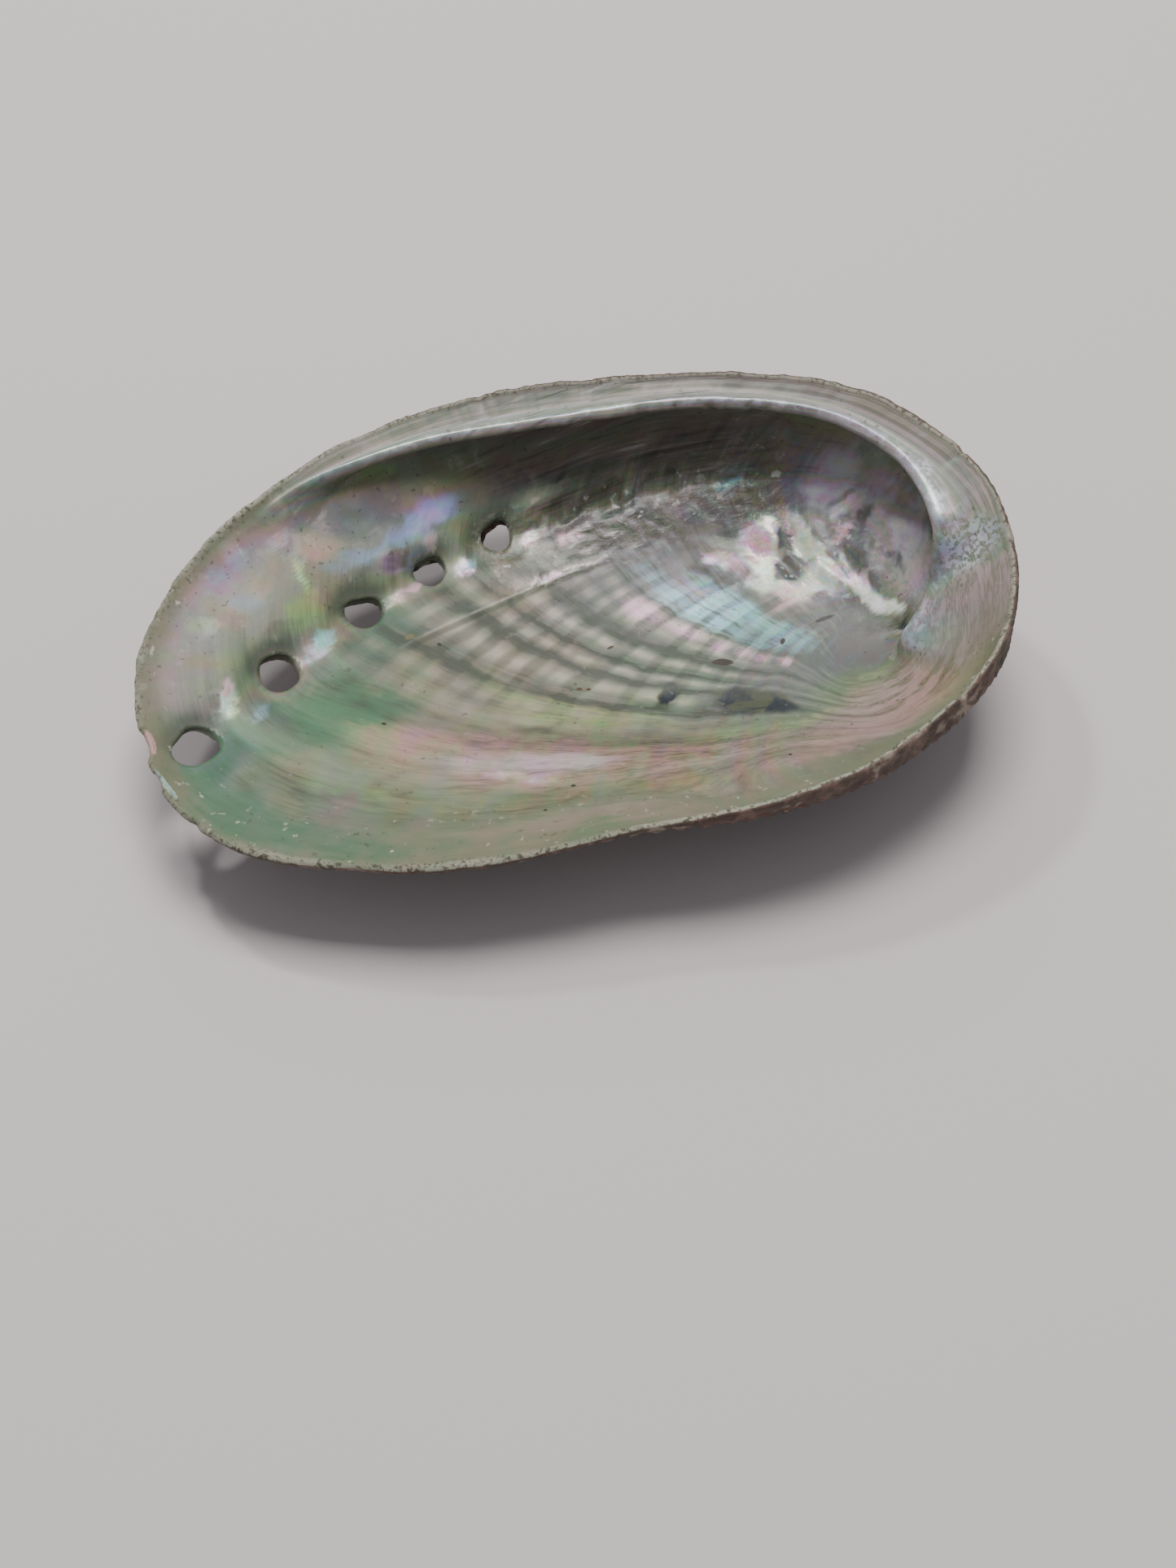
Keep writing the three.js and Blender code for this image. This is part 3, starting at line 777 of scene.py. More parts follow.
def buildShell():
    points, faces, values = shellMesh()
    lowest, highest = points.min(0), points.max(0)
    length = (cadBox[1] - cadBox[0]).x
    scale = length / (highest - lowest)[0]
    middle = (lowest + highest) / 2
    points = (points - [middle[0], middle[1], 0]) * scale
    points[:, 2] += cadBox[0].z
    mesh = bpy.data.meshes.new("abaloneShell")
    mesh.vertices.add(len(points))
    mesh.vertices.foreach_set("co", points.astype(np.float32).ravel())
    mesh.loops.add(faces.size)
    mesh.loops.foreach_set("vertex_index", faces.astype(np.int32).ravel())
    mesh.polygons.add(len(faces))
    mesh.polygons.foreach_set("loop_start", np.arange(0, faces.size, 4, dtype=np.int32))
    mesh.polygons.foreach_set("use_smooth", np.ones(len(faces), bool))
    mesh.update(calc_edges=True)
    mesh.validate()
    for name, part in values.items():
        layer = mesh.attributes.new(name, "FLOAT", "POINT")
        layer.data.foreach_set("value", part.astype(np.float32))
    piece = bpy.data.objects.new("abaloneShell", mesh)
    bpy.context.scene.collection.objects.link(piece)
    print("shell surface:", len(points), "points,", 2 * len(faces), "triangles")
    return piece


shell = buildShell()


class Wire:
    # a node's output that arithmetic can be done with
    def __init__(self, tree, socket):
        self.tree = tree
        self.socket = socket

    def math(self, operation, *values):
        node = self.tree.nodes.new("ShaderNodeMath")
        node.operation = operation
        for place, value in zip(node.inputs, values):
            if isinstance(value, Wire):
                self.tree.links.new(value.socket, place)
            else:
                place.default_value = value
        return Wire(self.tree, node.outputs[0])

    def __add__(self, other):
        return self.math("ADD", self, other)

    def __radd__(self, other):
        return self.math("ADD", other, self)

    def __sub__(self, other):
        return self.math("SUBTRACT", self, other)

    def __rsub__(self, other):
        return self.math("SUBTRACT", other, self)

    def __mul__(self, other):
        return self.math("MULTIPLY", self, other)

    def __rmul__(self, other):
        return self.math("MULTIPLY", other, self)

    def __truediv__(self, other):
        return self.math("DIVIDE", self, other)

    def sin(self):
        return self.math("SINE", self)

    def cos(self):
        return self.math("COSINE", self)

    def absolute(self):
        return self.math("ABSOLUTE", self)

    def exponent(self):
        return self.math("EXPONENT", self)

    def angle(self, other):
        return self.math("ARCTAN2", self, other)

    def largest(self, other):
        return self.math("MAXIMUM", self, other)

    def smallest(self, other):
        return self.math("MINIMUM", self, other)


class Tree:
    # every other node goes through one method
    def __init__(self, tree):
        self.tree = tree

    def add(self, kind, settings=None, inputs=None, out=0):
        node = self.tree.nodes.new(kind)
        for name, value in (settings or {}).items():
            setattr(node, name, value)
        for name, value in (inputs or {}).items():
            if isinstance(value, Wire):
                self.tree.links.new(value.socket, node.inputs[name])
            else:
                node.inputs[name].default_value = value
        return Wire(self.tree, node.outputs[out]) if len(node.outputs) else None

    def step(self, low, high, value):
        # 0 below low, 1 above high, smooth between
        places = {"Value": value, "From Min": low, "From Max": high}
        return self.add("ShaderNodeMapRange", {"interpolation_type": "SMOOTHSTEP"}, places)

    def noise(self, vector, scale, detail=2.0, seed=0.0, rough=0.5, bent=0.0):
        places = {"Vector": vector, "W": seed, "Scale": scale, "Detail": detail, "Roughness": rough}
        places["Distortion"] = bent
        return self.add("ShaderNodeTexNoise", {"noise_dimensions": "4D"}, places)

    def grain(self, x, y, z, detail, seed, rough=0.5, bent=0.0):
        # noise in a space of the shell's own growth
        return self.noise(self.vector(x, y, z), 1.0, detail, seed, rough, bent)

    def vector(self, x, y, z):
        return self.add("ShaderNodeCombineXYZ", {}, {"X": x, "Y": y, "Z": z})

    def product(self, first, second):
        return self.add("ShaderNodeVectorMath", {"operation": "MULTIPLY"}, {0: first, 1: second})

    def parts(self, vector):
        first = self.add("ShaderNodeSeparateXYZ", {}, {0: vector})
        return [Wire(self.tree, output) for output in first.socket.node.outputs]

    def mix(self, share, first, second, blend="MIX"):
        settings = {"data_type": "RGBA", "blend_type": blend}
        return self.add("ShaderNodeMix", settings, {0: share, 6: first, 7: second}, 2)

    def lay(self, colour, share, paint):
        # a paint laid over a colour: red, green, blue, and its strength unless it is full
        if len(paint) > 3:
            share = share * paint[3]
        return self.mix(share, colour, tone(*paint[:3]))


def tone(red, green, blue):
    # a colour as seen, 0 to 255, turned into light
    linear = [((v / 255 + 0.055) / 1.055) ** 2.4 if v > 10 else v / 3295 for v in (red, green, blue)]
    return tuple(linear) + (1.0,)


relief = {
    "bandsPerAge": 30.0,  # growth bands while the shell grows by a factor e
    "bandHeight": 0.09,  # heights in mm
    "foldsPerAge": 13.0,
    "foldHeight": 0.42,
    "lineHeight": 0.1,
    "cordCount": 70,  # spiral cords in a full turn
    "cordHeight": 0.018,
    "cordHeightOutside": 0.2,
    "pearlHeight": 0.08,
    "wrinkleHeight": 0.55,
    "grainHeight": 0.09,
    "edgeRoughness": 0.2,
    "seed": 4.0,
}
wrinkleDensity = (260.0, 620.0, 420.0)  # wrinkles in a metre along x, y and z
leanToward = (0.55, 0.35, 0.76)
milli = 0.001


def reliefTree():
    group = bpy.data.node_groups.new("growthRelief", "GeometryNodeTree")
    face = group.interface
    face.new_socket("shell", in_out="INPUT", socket_type="NodeSocketGeometry")
    for name in relief:
        face.new_socket(name, in_out="INPUT", socket_type="NodeSocketFloat")
    face.new_socket("table height", in_out="INPUT", socket_type="NodeSocketFloat")
    face.new_socket("finish", in_out="INPUT", socket_type="NodeSocketMaterial")
    face.new_socket("shell", in_out="OUTPUT", socket_type="NodeSocketGeometry")
    tree = Tree(group)
    source = tree.add("NodeGroupInput").socket.node
    given = {socket.name: Wire(group, socket) for socket in source.outputs if socket.name}

    def fact(name):
        return tree.add("GeometryNodeInputNamedAttribute", {"data_type": "FLOAT"}, {"Name": name})

    age, along, across = fact("age"), fact("alongRow"), fact("acrossRow")
    outer, free, rim = fact("outside"), fact("free"), fact("rim")
    seed = given["seed"]
    place = tree.add("GeometryNodeInputPosition")
    off = across.angle(along)
    fade = free * tree.step(0.3, 3.0, rim)

    # bands left by the growing edge, and finer lines between them
    bands = tree.grain(age * given["bandsPerAge"], along * 1.3, across * 1.3, 2.0, seed) - 0.5
    fineLines = tree.grain(age * given["bandsPerAge"] * 6, along * 3, across * 3, 2.0, seed + 3.0) - 0.5
    drift = tree.noise(place, 90.0, 2.0, seed + 1.0) - 0.5
    wave = (age * given["foldsPerAge"] * 2 * math.pi + drift * 5.0 + (off * 9.0).sin() * 0.5).sin()
    folds = wave * 0.5 + wave * wave * 0.25
    cords = (off * given["cordCount"] + drift * 1.5).sin()
    pearl = tree.noise(place, 420.0, 3.0, seed + 5.0) - 0.5
    grain = tree.noise(place, 1500.0, 3.0, seed + 7.0) - 0.5

    inner = bands * given["bandHeight"] * 2 + fineLines * given["lineHeight"] * 0.35
    inner = inner + cords * given["cordHeight"]
    inner = inner * fade * (1.0 - tree.step(-0.03, -0.2, across) * 0.9)  # faint beyond the holes
    inner = inner + pearl * given["pearlHeight"] * (free * 0.7 + 0.3)
    squeezed = tree.product(place, wrinkleDensity)
    ripple = (tree.noise(squeezed, 1.0, 2.0, seed + 11.0, 0.5, 0.8) - 0.5).absolute() * -2.0 + 0.25
    inner = inner + ripple * given["wrinkleHeight"] * fact("wrinkled")
    crust = folds * given["foldHeight"] + fineLines * given["lineHeight"] * 3
    crust = crust + cords * given["cordHeightOutside"]
    crust = crust + grain * given["grainHeight"] * 2 + bands * given["bandHeight"] * 2
    height = inner + (crust * (fade * 0.9 + 0.1) - inner) * outer
    crumbled = (tree.noise(place, 1300.0, 3.0, seed + 9.0) - 0.5) * given["edgeRoughness"]
    height = height + crumbled * tree.step(2.0, 0.4, rim)
    normal = tree.add("GeometryNodeInputNormal")
    raised = {"Vector": normal, "Scale": height * milli}
    push = tree.add("ShaderNodeVectorMath", {"operation": "SCALE"}, raised)
    moved = tree.add("GeometryNodeSetPosition", {}, {"Geometry": given["shell"], "Offset": push})
    # nothing sinks into the table
    x, y, z = tree.parts(tree.add("GeometryNodeInputPosition"))
    held = tree.vector(x, y, z.largest(given["table height"]))
    moved = tree.add("GeometryNodeSetPosition", {}, {"Geometry": moved, "Position": held})
    # how far each spot leans, which the colours of the pearl follow
    facing = {0: tree.add("GeometryNodeInputNormal"), 1: leanToward}
    lean = tree.add("ShaderNodeVectorMath", {"operation": "DOT_PRODUCT"}, facing, 1)
    stored = tree.add("GeometryNodeStoreNamedAttribute", {"data_type": "FLOAT", "domain": "POINT"},
                      {"Geometry": moved, "Name": "lean", "Value": lean})
    whole = tree.add("GeometryNodeRealizeInstances", {}, {"Geometry": stored})
    done = tree.add("GeometryNodeSetMaterial", {}, {"Geometry": whole, "Material": given["finish"]})
    tree.add("NodeGroupOutput", {}, {0: done})
    return group


def applyRelief(piece, finish):
    group = reliefTree()
    values = dict(relief)
    values.update({"table height": cadBox[0].z, "finish": finish})
    modifier = piece.modifiers.new("growthRelief", "NODES")
    modifier.node_group = group
    for item in group.interface.items_tree:
        if item.in_out == "INPUT" and item.name in values:
            modifier[item.identifier] = values[item.name]
    piece.update_tag()
    view = bpy.context.evaluated_depsgraph_get()
    mesh = bpy.data.meshes.new_from_object(piece.evaluated_get(view))
    piece.modifiers.remove(modifier)
    piece.data = mesh
    print("growth relief:", len(mesh.vertices), "points")


# the pearl's colours, each with its strength where it is laid on thinly, and its gloss
pearlLook = {
    "base": (129, 126, 105),  # plain colour where no tint gathers
    "baseGreen": (104, 119, 94),
    "hueFromLean": 2.8,  # how fast the shifting colours turn
    "hueFromPlace": 2.2,
    "hueFromAge": 2.0,
    "hueFromDrawn": 1.6,
    "hueShift": (0.0, 0.36, 0.68),  # where red, green and blue stand in a turn
    "sheen": 0.36,  # share of the shifting colours
    "bandShade": 1.15,  # how much the growth bands and the cords darken
    "cordShade": 0.5,
    "shade": (56, 64, 50),
    "light": (200, 193, 174),
    "pinkCell": (240, 190, 214, 0.75),  # bright cells between the cords
    "cyanCell": (176, 220, 224, 0.4),
    # painted highlight along the top of the crease
    "crease": (214, 210, 200),
    "creaseShade": (56, 64, 50, 0.45),
    "streak": (90, 97, 64, 0.75),  # olive streaks near the growing edge
    "mottleDark": (104, 94, 88, 0.45),
    "mottlePale": (190, 182, 178, 0.4),
    "blisterOlive": (70, 74, 54),
    # pink and green tints within the painted highlights of the silver patches
    "opalPink": (240, 206, 228),
    "opalGreen": (222, 232, 212),
    "wrinkleDensity": (420.0, 900.0, 600.0),  # in a metre along x, y and z
    "wrinkleLine": (62, 60, 56, 0.55),
    # painted highlight on the crests of the wrinkles
    "wrinkleCrestHighlight": (204, 206, 204, 0.5),
    # painted glints on the wrinkles and the silver patches
    "glint": (248, 250, 248),
    "wallPale": (124, 112, 106, 0.6),  # streaks on the dark wall under the ledge
    "wallPalest": (166, 168, 164, 0.7),
    "wallDark": (48, 42, 36, 0.7),
    "glow": {"silverAndHighlight": 1.0, "crest": 1.0, "wrinkled": 0.8, "cyan": 0.6, "pink": 0.5, "lilac": 0.3},
    "dull": {"paintedHollowShade": 0.7, "ash": 0.4, "blister": 0.9},
    "roughness": 0.3,
    "metallic": 0.25,
    "coat": 0.4,
    "coatRoughness": 0.14,
    "refraction": 1.56,
    "bumpStrength": 0.4,
    "bumpDepth": 0.00014,  # metres
    "matt": (116, 112, 87),  # zone inside the growing edge
    "mattGreen": (90, 114, 80),
    "mattRose": (138, 118, 104),
    "holeShade": (54, 62, 50, 0.7),  # painted shade on the far side of the breathing holes
    "fleck": (196, 192, 178),
    "stain": (82, 78, 58),
    "dot": (64, 62, 50, 0.55),
    "edgeDark": (84, 78, 64),
    "edgeChalk": (176, 173, 158),
}
ledgeLook = {
    "warm": (162, 152, 144),
    "green": (138, 144, 130),
    "cyan": (150, 196, 190, 0.7),
    "groove": (92, 92, 84, 0.6),
    "hair": (92, 92, 84, 0.35),
    "rose": (186, 164, 170, 0.6),
    # painted highlight on the ledge's crest and near its end
    "grain": (232, 236, 238),
    "highlightLilac": (192, 188, 214),
}
crustLook = {
    "base": (96, 70, 61),
    "band": (84, 84, 68),
    "line": (52, 40, 36, 0.4),
    "pale": (160, 150, 134, 0.75),
    "rosy": (132, 98, 90, 0.55),
    "pearlWorn": (142, 150, 138),
    "wornRose": (158, 142, 138),
    "roughness": 0.78,
}
# small marks on the inside: x, y, half length, half width, direction, colour
specks = [
    (20.0, -1.1, 1.3, 0.55, -22, (44, 30, 12)),
    (34.6, 1.5, 1.3, 0.26, 5, (24, 22, 20)),
    (28.4, -0.3, 0.5, 0.3, 60, (24, 22, 20)),
    (-25.6, -5.4, 0.3, 0.22, 0, (48, 44, 36)),
    (0.6, -1.4, 0.4, 0.24, 0, (84, 62, 36)),
    (1.8, -1.6, 0.3, 0.24, 0, (84, 62, 36)),
    (6.4, 5.2, 0.5, 0.2, 20, (78, 60, 40)),
    (-16.0, 7.6, 0.26, 0.26, 0, (48, 44, 36)),
    (-19.6, 9.0, 0.7, 0.35, 30, (104, 98, 62)),
    (-4.8, -21.0, 0.28, 0.24, 0, (56, 48, 38)),
    (-9.4, -25.8, 0.24, 0.24, 0, (56, 48, 38)),
    (22.8, -21.8, 0.24, 0.2, 0, (56, 48, 38)),
    (-54.3, -7.4, 0.6, 1.7, 5, (190, 150, 146)),
    (-53.2, -14.2, 0.35, 2.4, 24, (150, 178, 166)),
]


# patterns all through the shell: number in a metre, detail, seed, roughness, bending
patterns = {
    "broad": (42.0, 3.0, 2.0),
    "middling": (130.0, 3.0, 5.0),
    "fine": (700.0, 3.0, 8.0),
    "patchy": (260.0, 4.0, 12.0, 0.6, 0.6),
    "mottled": (210.0, 3.0, 21.0, 0.6),
    "speckEdge": (2400.0, 2.0, 31.0),
    "glints": (700.0, 2.0, 35.0),
    "dots": (1250.0, 1.0, 39.0),
    "rubbedAndHighlight": (1500.0, 2.0, 41.0),
    "crumbs": (1700.0, 3.0, 15.0, 0.65),
    "grit": (2200.0, 3.0, 11.0),
}
# patterns drawn out along the growing edge or the rim: what they follow, number along it,
# number round the apex, detail, seed, roughness, bending
drawnPatterns = {
    "drawn": ("age", 16.0, 9.0, 3.0, 13.0, 0.6),
    "bands": ("age", 22.0, 1.6, 3.0, 4.0, 0.6),
    "thin": ("age", 110.0, 4.0, 2.0, 6.0, 0.6),
    "streaks": ("age", 70.0, 26.0, 3.0, 9.0, 0.65),
    "wallStreaks": ("age", 5.0, 46.0, 3.0, 19.0, 0.6, 0.6),
    "ledgeBands": ("rim", 0.5, 2.4, 2.0, 27.0, 0.6),
    "ledgeGrooves": ("rim", 1.3, 1.2, 3.0, 17.0, 0.6),
    "ledgeHairs": ("rim", 4.5, 1.6, 3.0, 47.0, 0.6),
}


def drawn(tree, fact, name):
    measure, count, turns, *rest = drawnPatterns[name]
    return tree.grain(fact(measure) * count, fact("alongRow") * turns, fact("acrossRow") * turns, *rest)


def lines(tree, pattern, width):
    # thin lines where a pattern crosses its middle
    return tree.step(width, 0.0, (pattern - 0.5).absolute())


def ledgeColour(tree, place, fact, pattern):
    # grooves and coloured bands that follow the ledge
    look = ledgeLook
    bands, grooves, hairs = (drawn(tree, fact, "ledge" + kind) for kind in ("Bands", "Grooves", "Hairs"))
    colour = tree.lay(tone(*look["warm"]), tree.step(0.4, 0.6, bands), look["green"])
    colour = tree.lay(colour, lines(tree, grooves, 0.06), look["groove"])
    colour = tree.lay(colour, tree.step(0.48, 0.36, hairs), look["hair"])
    colour = tree.lay(colour, tree.step(0.52, 0.66, grooves), look["rose"])
    colour = tree.lay(colour, tree.step(0.45, 0.62, bands) * fact("crest"), look["cyan"])
    # painted highlight on its crest, broken into bright grains, and on the patches near its end
    uneven = pattern["patchy"] - 0.5
    crestHighlightGrains = tree.step(0.46, 0.6, pattern["fine"] + uneven * 0.4)
    worn = fact("rubbedAndHighlight") * tree.step(0.44, 0.56, tree.noise(place, *patterns["rubbedAndHighlight"]) + uneven * 0.8)
    bright = tree.lay(tone(*look["grain"]), tree.step(0.42, 0.6, pattern["middling"]), look["highlightLilac"])
    return tree.mix((fact("crest") * (crestHighlightGrains * 0.65 + 0.25) + worn).smallest(1.0), colour, bright)


def growthShade(tree, fact, pattern):
    # bands of growth, thin dark lines between them, and cords across
    look = pearlLook
    age, along, across = fact("age"), fact("alongRow"), fact("acrossRow")
    free, corded, matt = fact("free"), fact("corded"), fact("matt")
    bands, cell, beyond = pattern["bands"], pattern["cell"], pattern["wing"]
    dark = tree.step(0.56, 0.4, bands) * 0.3 + lines(tree, bands, 0.05) * 0.35
    dark = dark + lines(tree, pattern["thin"], 0.06) * 0.25
    dark = dark * (free * 0.85 + 0.1) * (1.0 - pattern["round"] * 0.5)
    dark = dark * (0.45 + tree.step(0.4, 0.62, pattern["drawn"]) * 0.4)
    # the bands at their ages, a little wavy and never equally strong
    spot = tree.vector(along * 5.0, across * 5.0, age * 7.0)
    wavy = age + (tree.noise(spot, 1.0, 2.0, 23.0) - 0.5) * 0.05
    strength = tree.step(0.3, 0.65, tree.noise(spot, 1.3, 2.0, 24.0)) * 0.6 + 0.55
    known = 0.0
    pale = 0.0
    for at, width, size in growthBands:
        near = (wavy - at) * (1 / width)
        share = (near * near * -1.0).exponent() * abs(size)
        if size > 0:
            known = share + known
        else:
            pale = share + pale
    onFloor = tree.step(-0.1, 0.1, across) * free
    dark = dark + known * strength * (0.35 + corded * 0.75) * onFloor
    dark = dark * look["bandShade"] * (1.0 - matt * 0.5) * (1.0 - beyond * 0.93) * tree.step(1.35, 1.0, age)
    dark = dark + tree.step(0.5, 0.12, pattern["cords"]) * look["cordShade"] * corded
    light = pale * (0.2 + corded * (0.25 + cell * 0.75)) * onFloor
    light = light + tree.step(0.54, 0.66, bands) * 0.12 * free * (1.0 - beyond)
    light = light + fact("pink") * cell * 0.5
    return dark.smallest(0.88), light.smallest(0.8) * (1.0 - matt)


def creaseHighlightAndShadow(tree, fact):
    # painted highlight along the thin line of the crease, and painted shadow on its dark side
    reach = fact("reach")
    off = fact("acrossRow").angle(fact("alongRow"))
    share = (reach - crease["to"]) / (crease["from"] - crease["to"])
    middle = share * (crease["offFrom"] - crease["offTo"])
    near = (off - middle - crease["offTo"]) * reach / math.hypot(1, shellForm["rowCurl"])
    ends = tree.step(-0.05, 0.1, share) * tree.step(1.02, 0.85, share) * (1.0 - fact("outside"))
    broken = tree.step(0.35, 0.6, tree.grain(reach * 0.5, 0.0, 0.0, 2.0, 37.0))
    highlightShare = (tree.step(0.9, 0.2, share) * 0.4 + 0.15) * broken
    bright = tree.step(0.24, 0.08, (near + 0.1).absolute()) * ends * highlightShare
    return bright, tree.step(0.5, 0.15, (near - 0.4).absolute()) * ends


def addSpecks(tree, place, fact, colour):
    x, y = (part * (1 / milli) for part in tree.parts(place)[:2])
    ragged = (tree.noise(place, *patterns["speckEdge"]) - 0.5) * 1.2
    floor = (1.0 - fact("outside")) * (1.0 - fact("ledge"))
    for cx, cy, along, across, turn, shade in specks:
        c, s = math.cos(math.radians(turn)), math.sin(math.radians(turn))
        u = x * (c / along) + y * (s / along) - (cx * c + cy * s) / along
        v = y * (c / across) - x * (s / across) - (cy * c - cx * s) / across
        colour = tree.lay(colour, tree.step(1.5, 0.8, u * u + v * v + ragged) * floor, shade)
    return colour


def gatherTint(tree, fact, pattern, colour, name):
    # one tint laid where its patches gather, with loose edges
    look = pearlLook
    shade = tone(*tints[name]["colour"])
    looseness = 0.8
    # the silver patches: pale nacre with painted highlights, tinted pink and green
    if name == "silverAndHighlight":
        looseness = 0.35
        opal = tree.step(0.43, 0.57, pattern["middling"])
        opal = tree.lay(tone(*look["opalPink"]), opal, look["opalGreen"])
        shade = tree.mix(tree.step(0.5, 0.62, pattern["patchy"]), opal, shade)
    if name == "blister":
        shade = tree.lay(shade, tree.step(0.46, 0.58, pattern["patchy"]), look["blisterOlive"])
    amount = fact(name)
    gathered = tree.step(0.15, 0.85, amount + pattern["loose"] * looseness) * tree.step(0.02, 0.25, amount)
    return tree.mix(gathered, colour, shade)


def shiftHues(tree, fact, pattern, colour):
    # hues that follow the surface's lean
    look = pearlLook
    ledge, turned = fact("ledge"), pattern["round"]
    plain = (1.0 - ledge) * (fact("free") * 0.75 + 0.25) * (1.0 - turned * 0.7)
    phase = fact("lean") * (1.0 - turned * 0.85) * look["hueFromLean"]
    phase = phase + pattern["broad"] * look["hueFromPlace"] * (1.0 - ledge * 0.7)
    phase = phase + fact("age") * look["hueFromAge"] * plain + pattern["cords"] * 0.1
    phase = phase + pattern["drawn"] * look["hueFromDrawn"] * plain + pattern["patchy"] * 0.3
    hues = [((phase + shift) * (2 * math.pi)).cos() * 0.5 + 0.5 for shift in look["hueShift"]]
    shifting = tree.add("ShaderNodeCombineColor", {}, dict(enumerate(hues)))
    shifting = tree.mix(0.4, shifting, (0.5, 0.5, 0.5, 1))
    bright = fact("silverAndHighlight") * 0.6 + fact("lilac") * 0.6 + fact("crest") * 0.4 + 0.6 - fact("mauveAndPaintedLight") * 0.3
    sheen = (1.0 - fact("matt") * 0.8) * look["sheen"] * bright * (1.0 - ledge * 0.5) * (1.0 - turned * 0.6)
    return tree.mix(sheen, colour, shifting, "OVERLAY")


def pearlColour(tree, place, fact, pattern):
    look = pearlLook
    ledge = fact("ledge")
    plain = tree.step(0.38, 0.62, pattern["broad"] * 0.6 + pattern["patchy"] * 0.4)
    colour = tree.lay(tone(*look["base"]), plain, look["baseGreen"])
    streaked = tree.step(0.49, 0.57, pattern["bands"]) * 0.8 + lines(tree, pattern["thin"], 0.06) * 0.6
    streaked = streaked * fact("streaky") * (fact("free") * 0.8 + 0.2)
    for name in tints:
        if name != "blister":
            colour = gatherTint(tree, fact, pattern, colour, name)
        if name == "rose":
            colour = tree.lay(colour, streaked, look["streak"])
    colour = tree.mix(ledge * 0.85, colour, ledgeColour(tree, place, fact, pattern))
    colour = shiftHues(tree, fact, pattern, colour)

    dark, light = growthShade(tree, fact, pattern)
    darkness = dark * (1.0 - ledge) * (1.0 - fact("silverAndHighlight") * 0.6)
    colour = tree.lay(colour, darkness, look["shade"])
    colour = tree.lay(colour, light * (1.0 - ledge), look["light"])
    colour = tree.lay(colour, fact("pink") * pattern["cell"], look["pinkCell"])
    colour = tree.lay(colour, fact("cyan") * pattern["cell"], look["cyanCell"])
    colour = gatherTint(tree, fact, pattern, colour, "blister")
    # painted shade on the far side of each breathing hole
    colour = tree.lay(colour, tree.step(0.1, 0.8, fact("holeShade") + pattern["loose"] * 0.3), look["holeShade"])
    # painted highlight and painted shadow along the crease
    bright, creaseShadow = creaseHighlightAndShadow(tree, fact)
    colour = tree.lay(colour, creaseShadow, look["creaseShade"])
    colour = tree.lay(colour, bright, look["crease"])
    # the wrinkles have dark lines, painted highlights on their crests, and painted glints
    wrinkled = fact("wrinkled") * (1.0 - ledge)
    colour = tree.lay(colour, lines(tree, pattern["wrinkles"], 0.07) * wrinkled, look["wrinkleLine"])
    colour = tree.lay(colour, tree.step(0.58, 0.68, pattern["wrinkles"]) * wrinkled, look["wrinkleCrestHighlight"])
    glints = tree.step(0.6, 0.67, tree.noise(place, *patterns["glints"]))
    glints = glints * tree.step(0.49, 0.58, pattern["middling"])
    colour = tree.lay(colour, glints * (wrinkled * 0.9 + fact("silverAndHighlight") * 0.5).smallest(1.0), look["glint"])
    # the wall under the ledge, dark with painted shade, is streaked along
    streak = drawn(tree, fact, "wallStreaks")
    colour = tree.lay(colour, tree.step(0.5, 0.6, streak) * fact("shade"), look["wallPale"])
    colour = tree.lay(colour, tree.step(0.6, 0.68, streak) * fact("shade"), look["wallPalest"])
    colour = tree.lay(colour, tree.step(0.46, 0.38, streak) * fact("shade"), look["wallDark"])
    return colour, darkness


def edgeColour(tree, place, fact, pattern, colour):
    # zones over the pearl: matt inside the growing edge, mottled beyond the holes, and the edge itself
    look = pearlLook
    matt, ledge = fact("matt"), fact("ledge")
    fine, middling, patchy = pattern["fine"], pattern["middling"], pattern["patchy"]
    mattColour = tree.lay(tone(*look["matt"]), tree.step(0.42, 0.6, pattern["drawn"]), look["mattGreen"])
    mattColour = tree.lay(mattColour, tree.step(0.5, 0.66, pattern["bands"]), look["mattRose"])
    colour = tree.mix(matt * (0.6 - fact("teal") * 0.4), colour, mattColour)
    # flecks and stains drawn out along the edge
    streaks = drawn(tree, fact, "streaks")
    flecks = tree.step(0.6, 0.68, fine) * tree.step(0.48, 0.6, streaks)
    colour = tree.lay(colour, flecks * (matt * 0.75 + 0.15), look["fleck"])
    stains = tree.step(0.4, 0.3, fine) * tree.step(0.5, 0.4, streaks)
    colour = tree.lay(colour, stains * (matt * 0.6 + 0.1), look["stain"])
    wing = pattern["wing"] * (1.0 - ledge) * (1.0 - fact("shade"))
    colour = tree.lay(colour, tree.step(0.54, 0.68, patchy) * wing, look["mottleDark"])
    colour = tree.lay(colour, tree.step(0.44, 0.3, patchy) * wing, look["mottlePale"])
    dots = tree.step(0.66, 0.71, tree.noise(place, *patterns["dots"]))
    dots = dots * tree.step(0.45, 0.6, middling + wing * 0.12)
    colour = tree.lay(colour, dots * (1.0 - fact("silverAndHighlight")), look["dot"])
    colour = addSpecks(tree, place, fact, colour)
    crumbs = tree.noise(place, *patterns["crumbs"])
    ragged = fact("rim") + (crumbs - 0.5) * 2.2 + (middling - 0.5) * 1.6 + ledge * 0.4
    edge = tree.step(1.4, 0.5, ragged)
    chalk = tree.lay(tone(*look["edgeDark"]), tree.step(0.38, 0.56, crumbs), look["edgeChalk"])
    return tree.mix(edge * 0.85, colour, chalk), edge


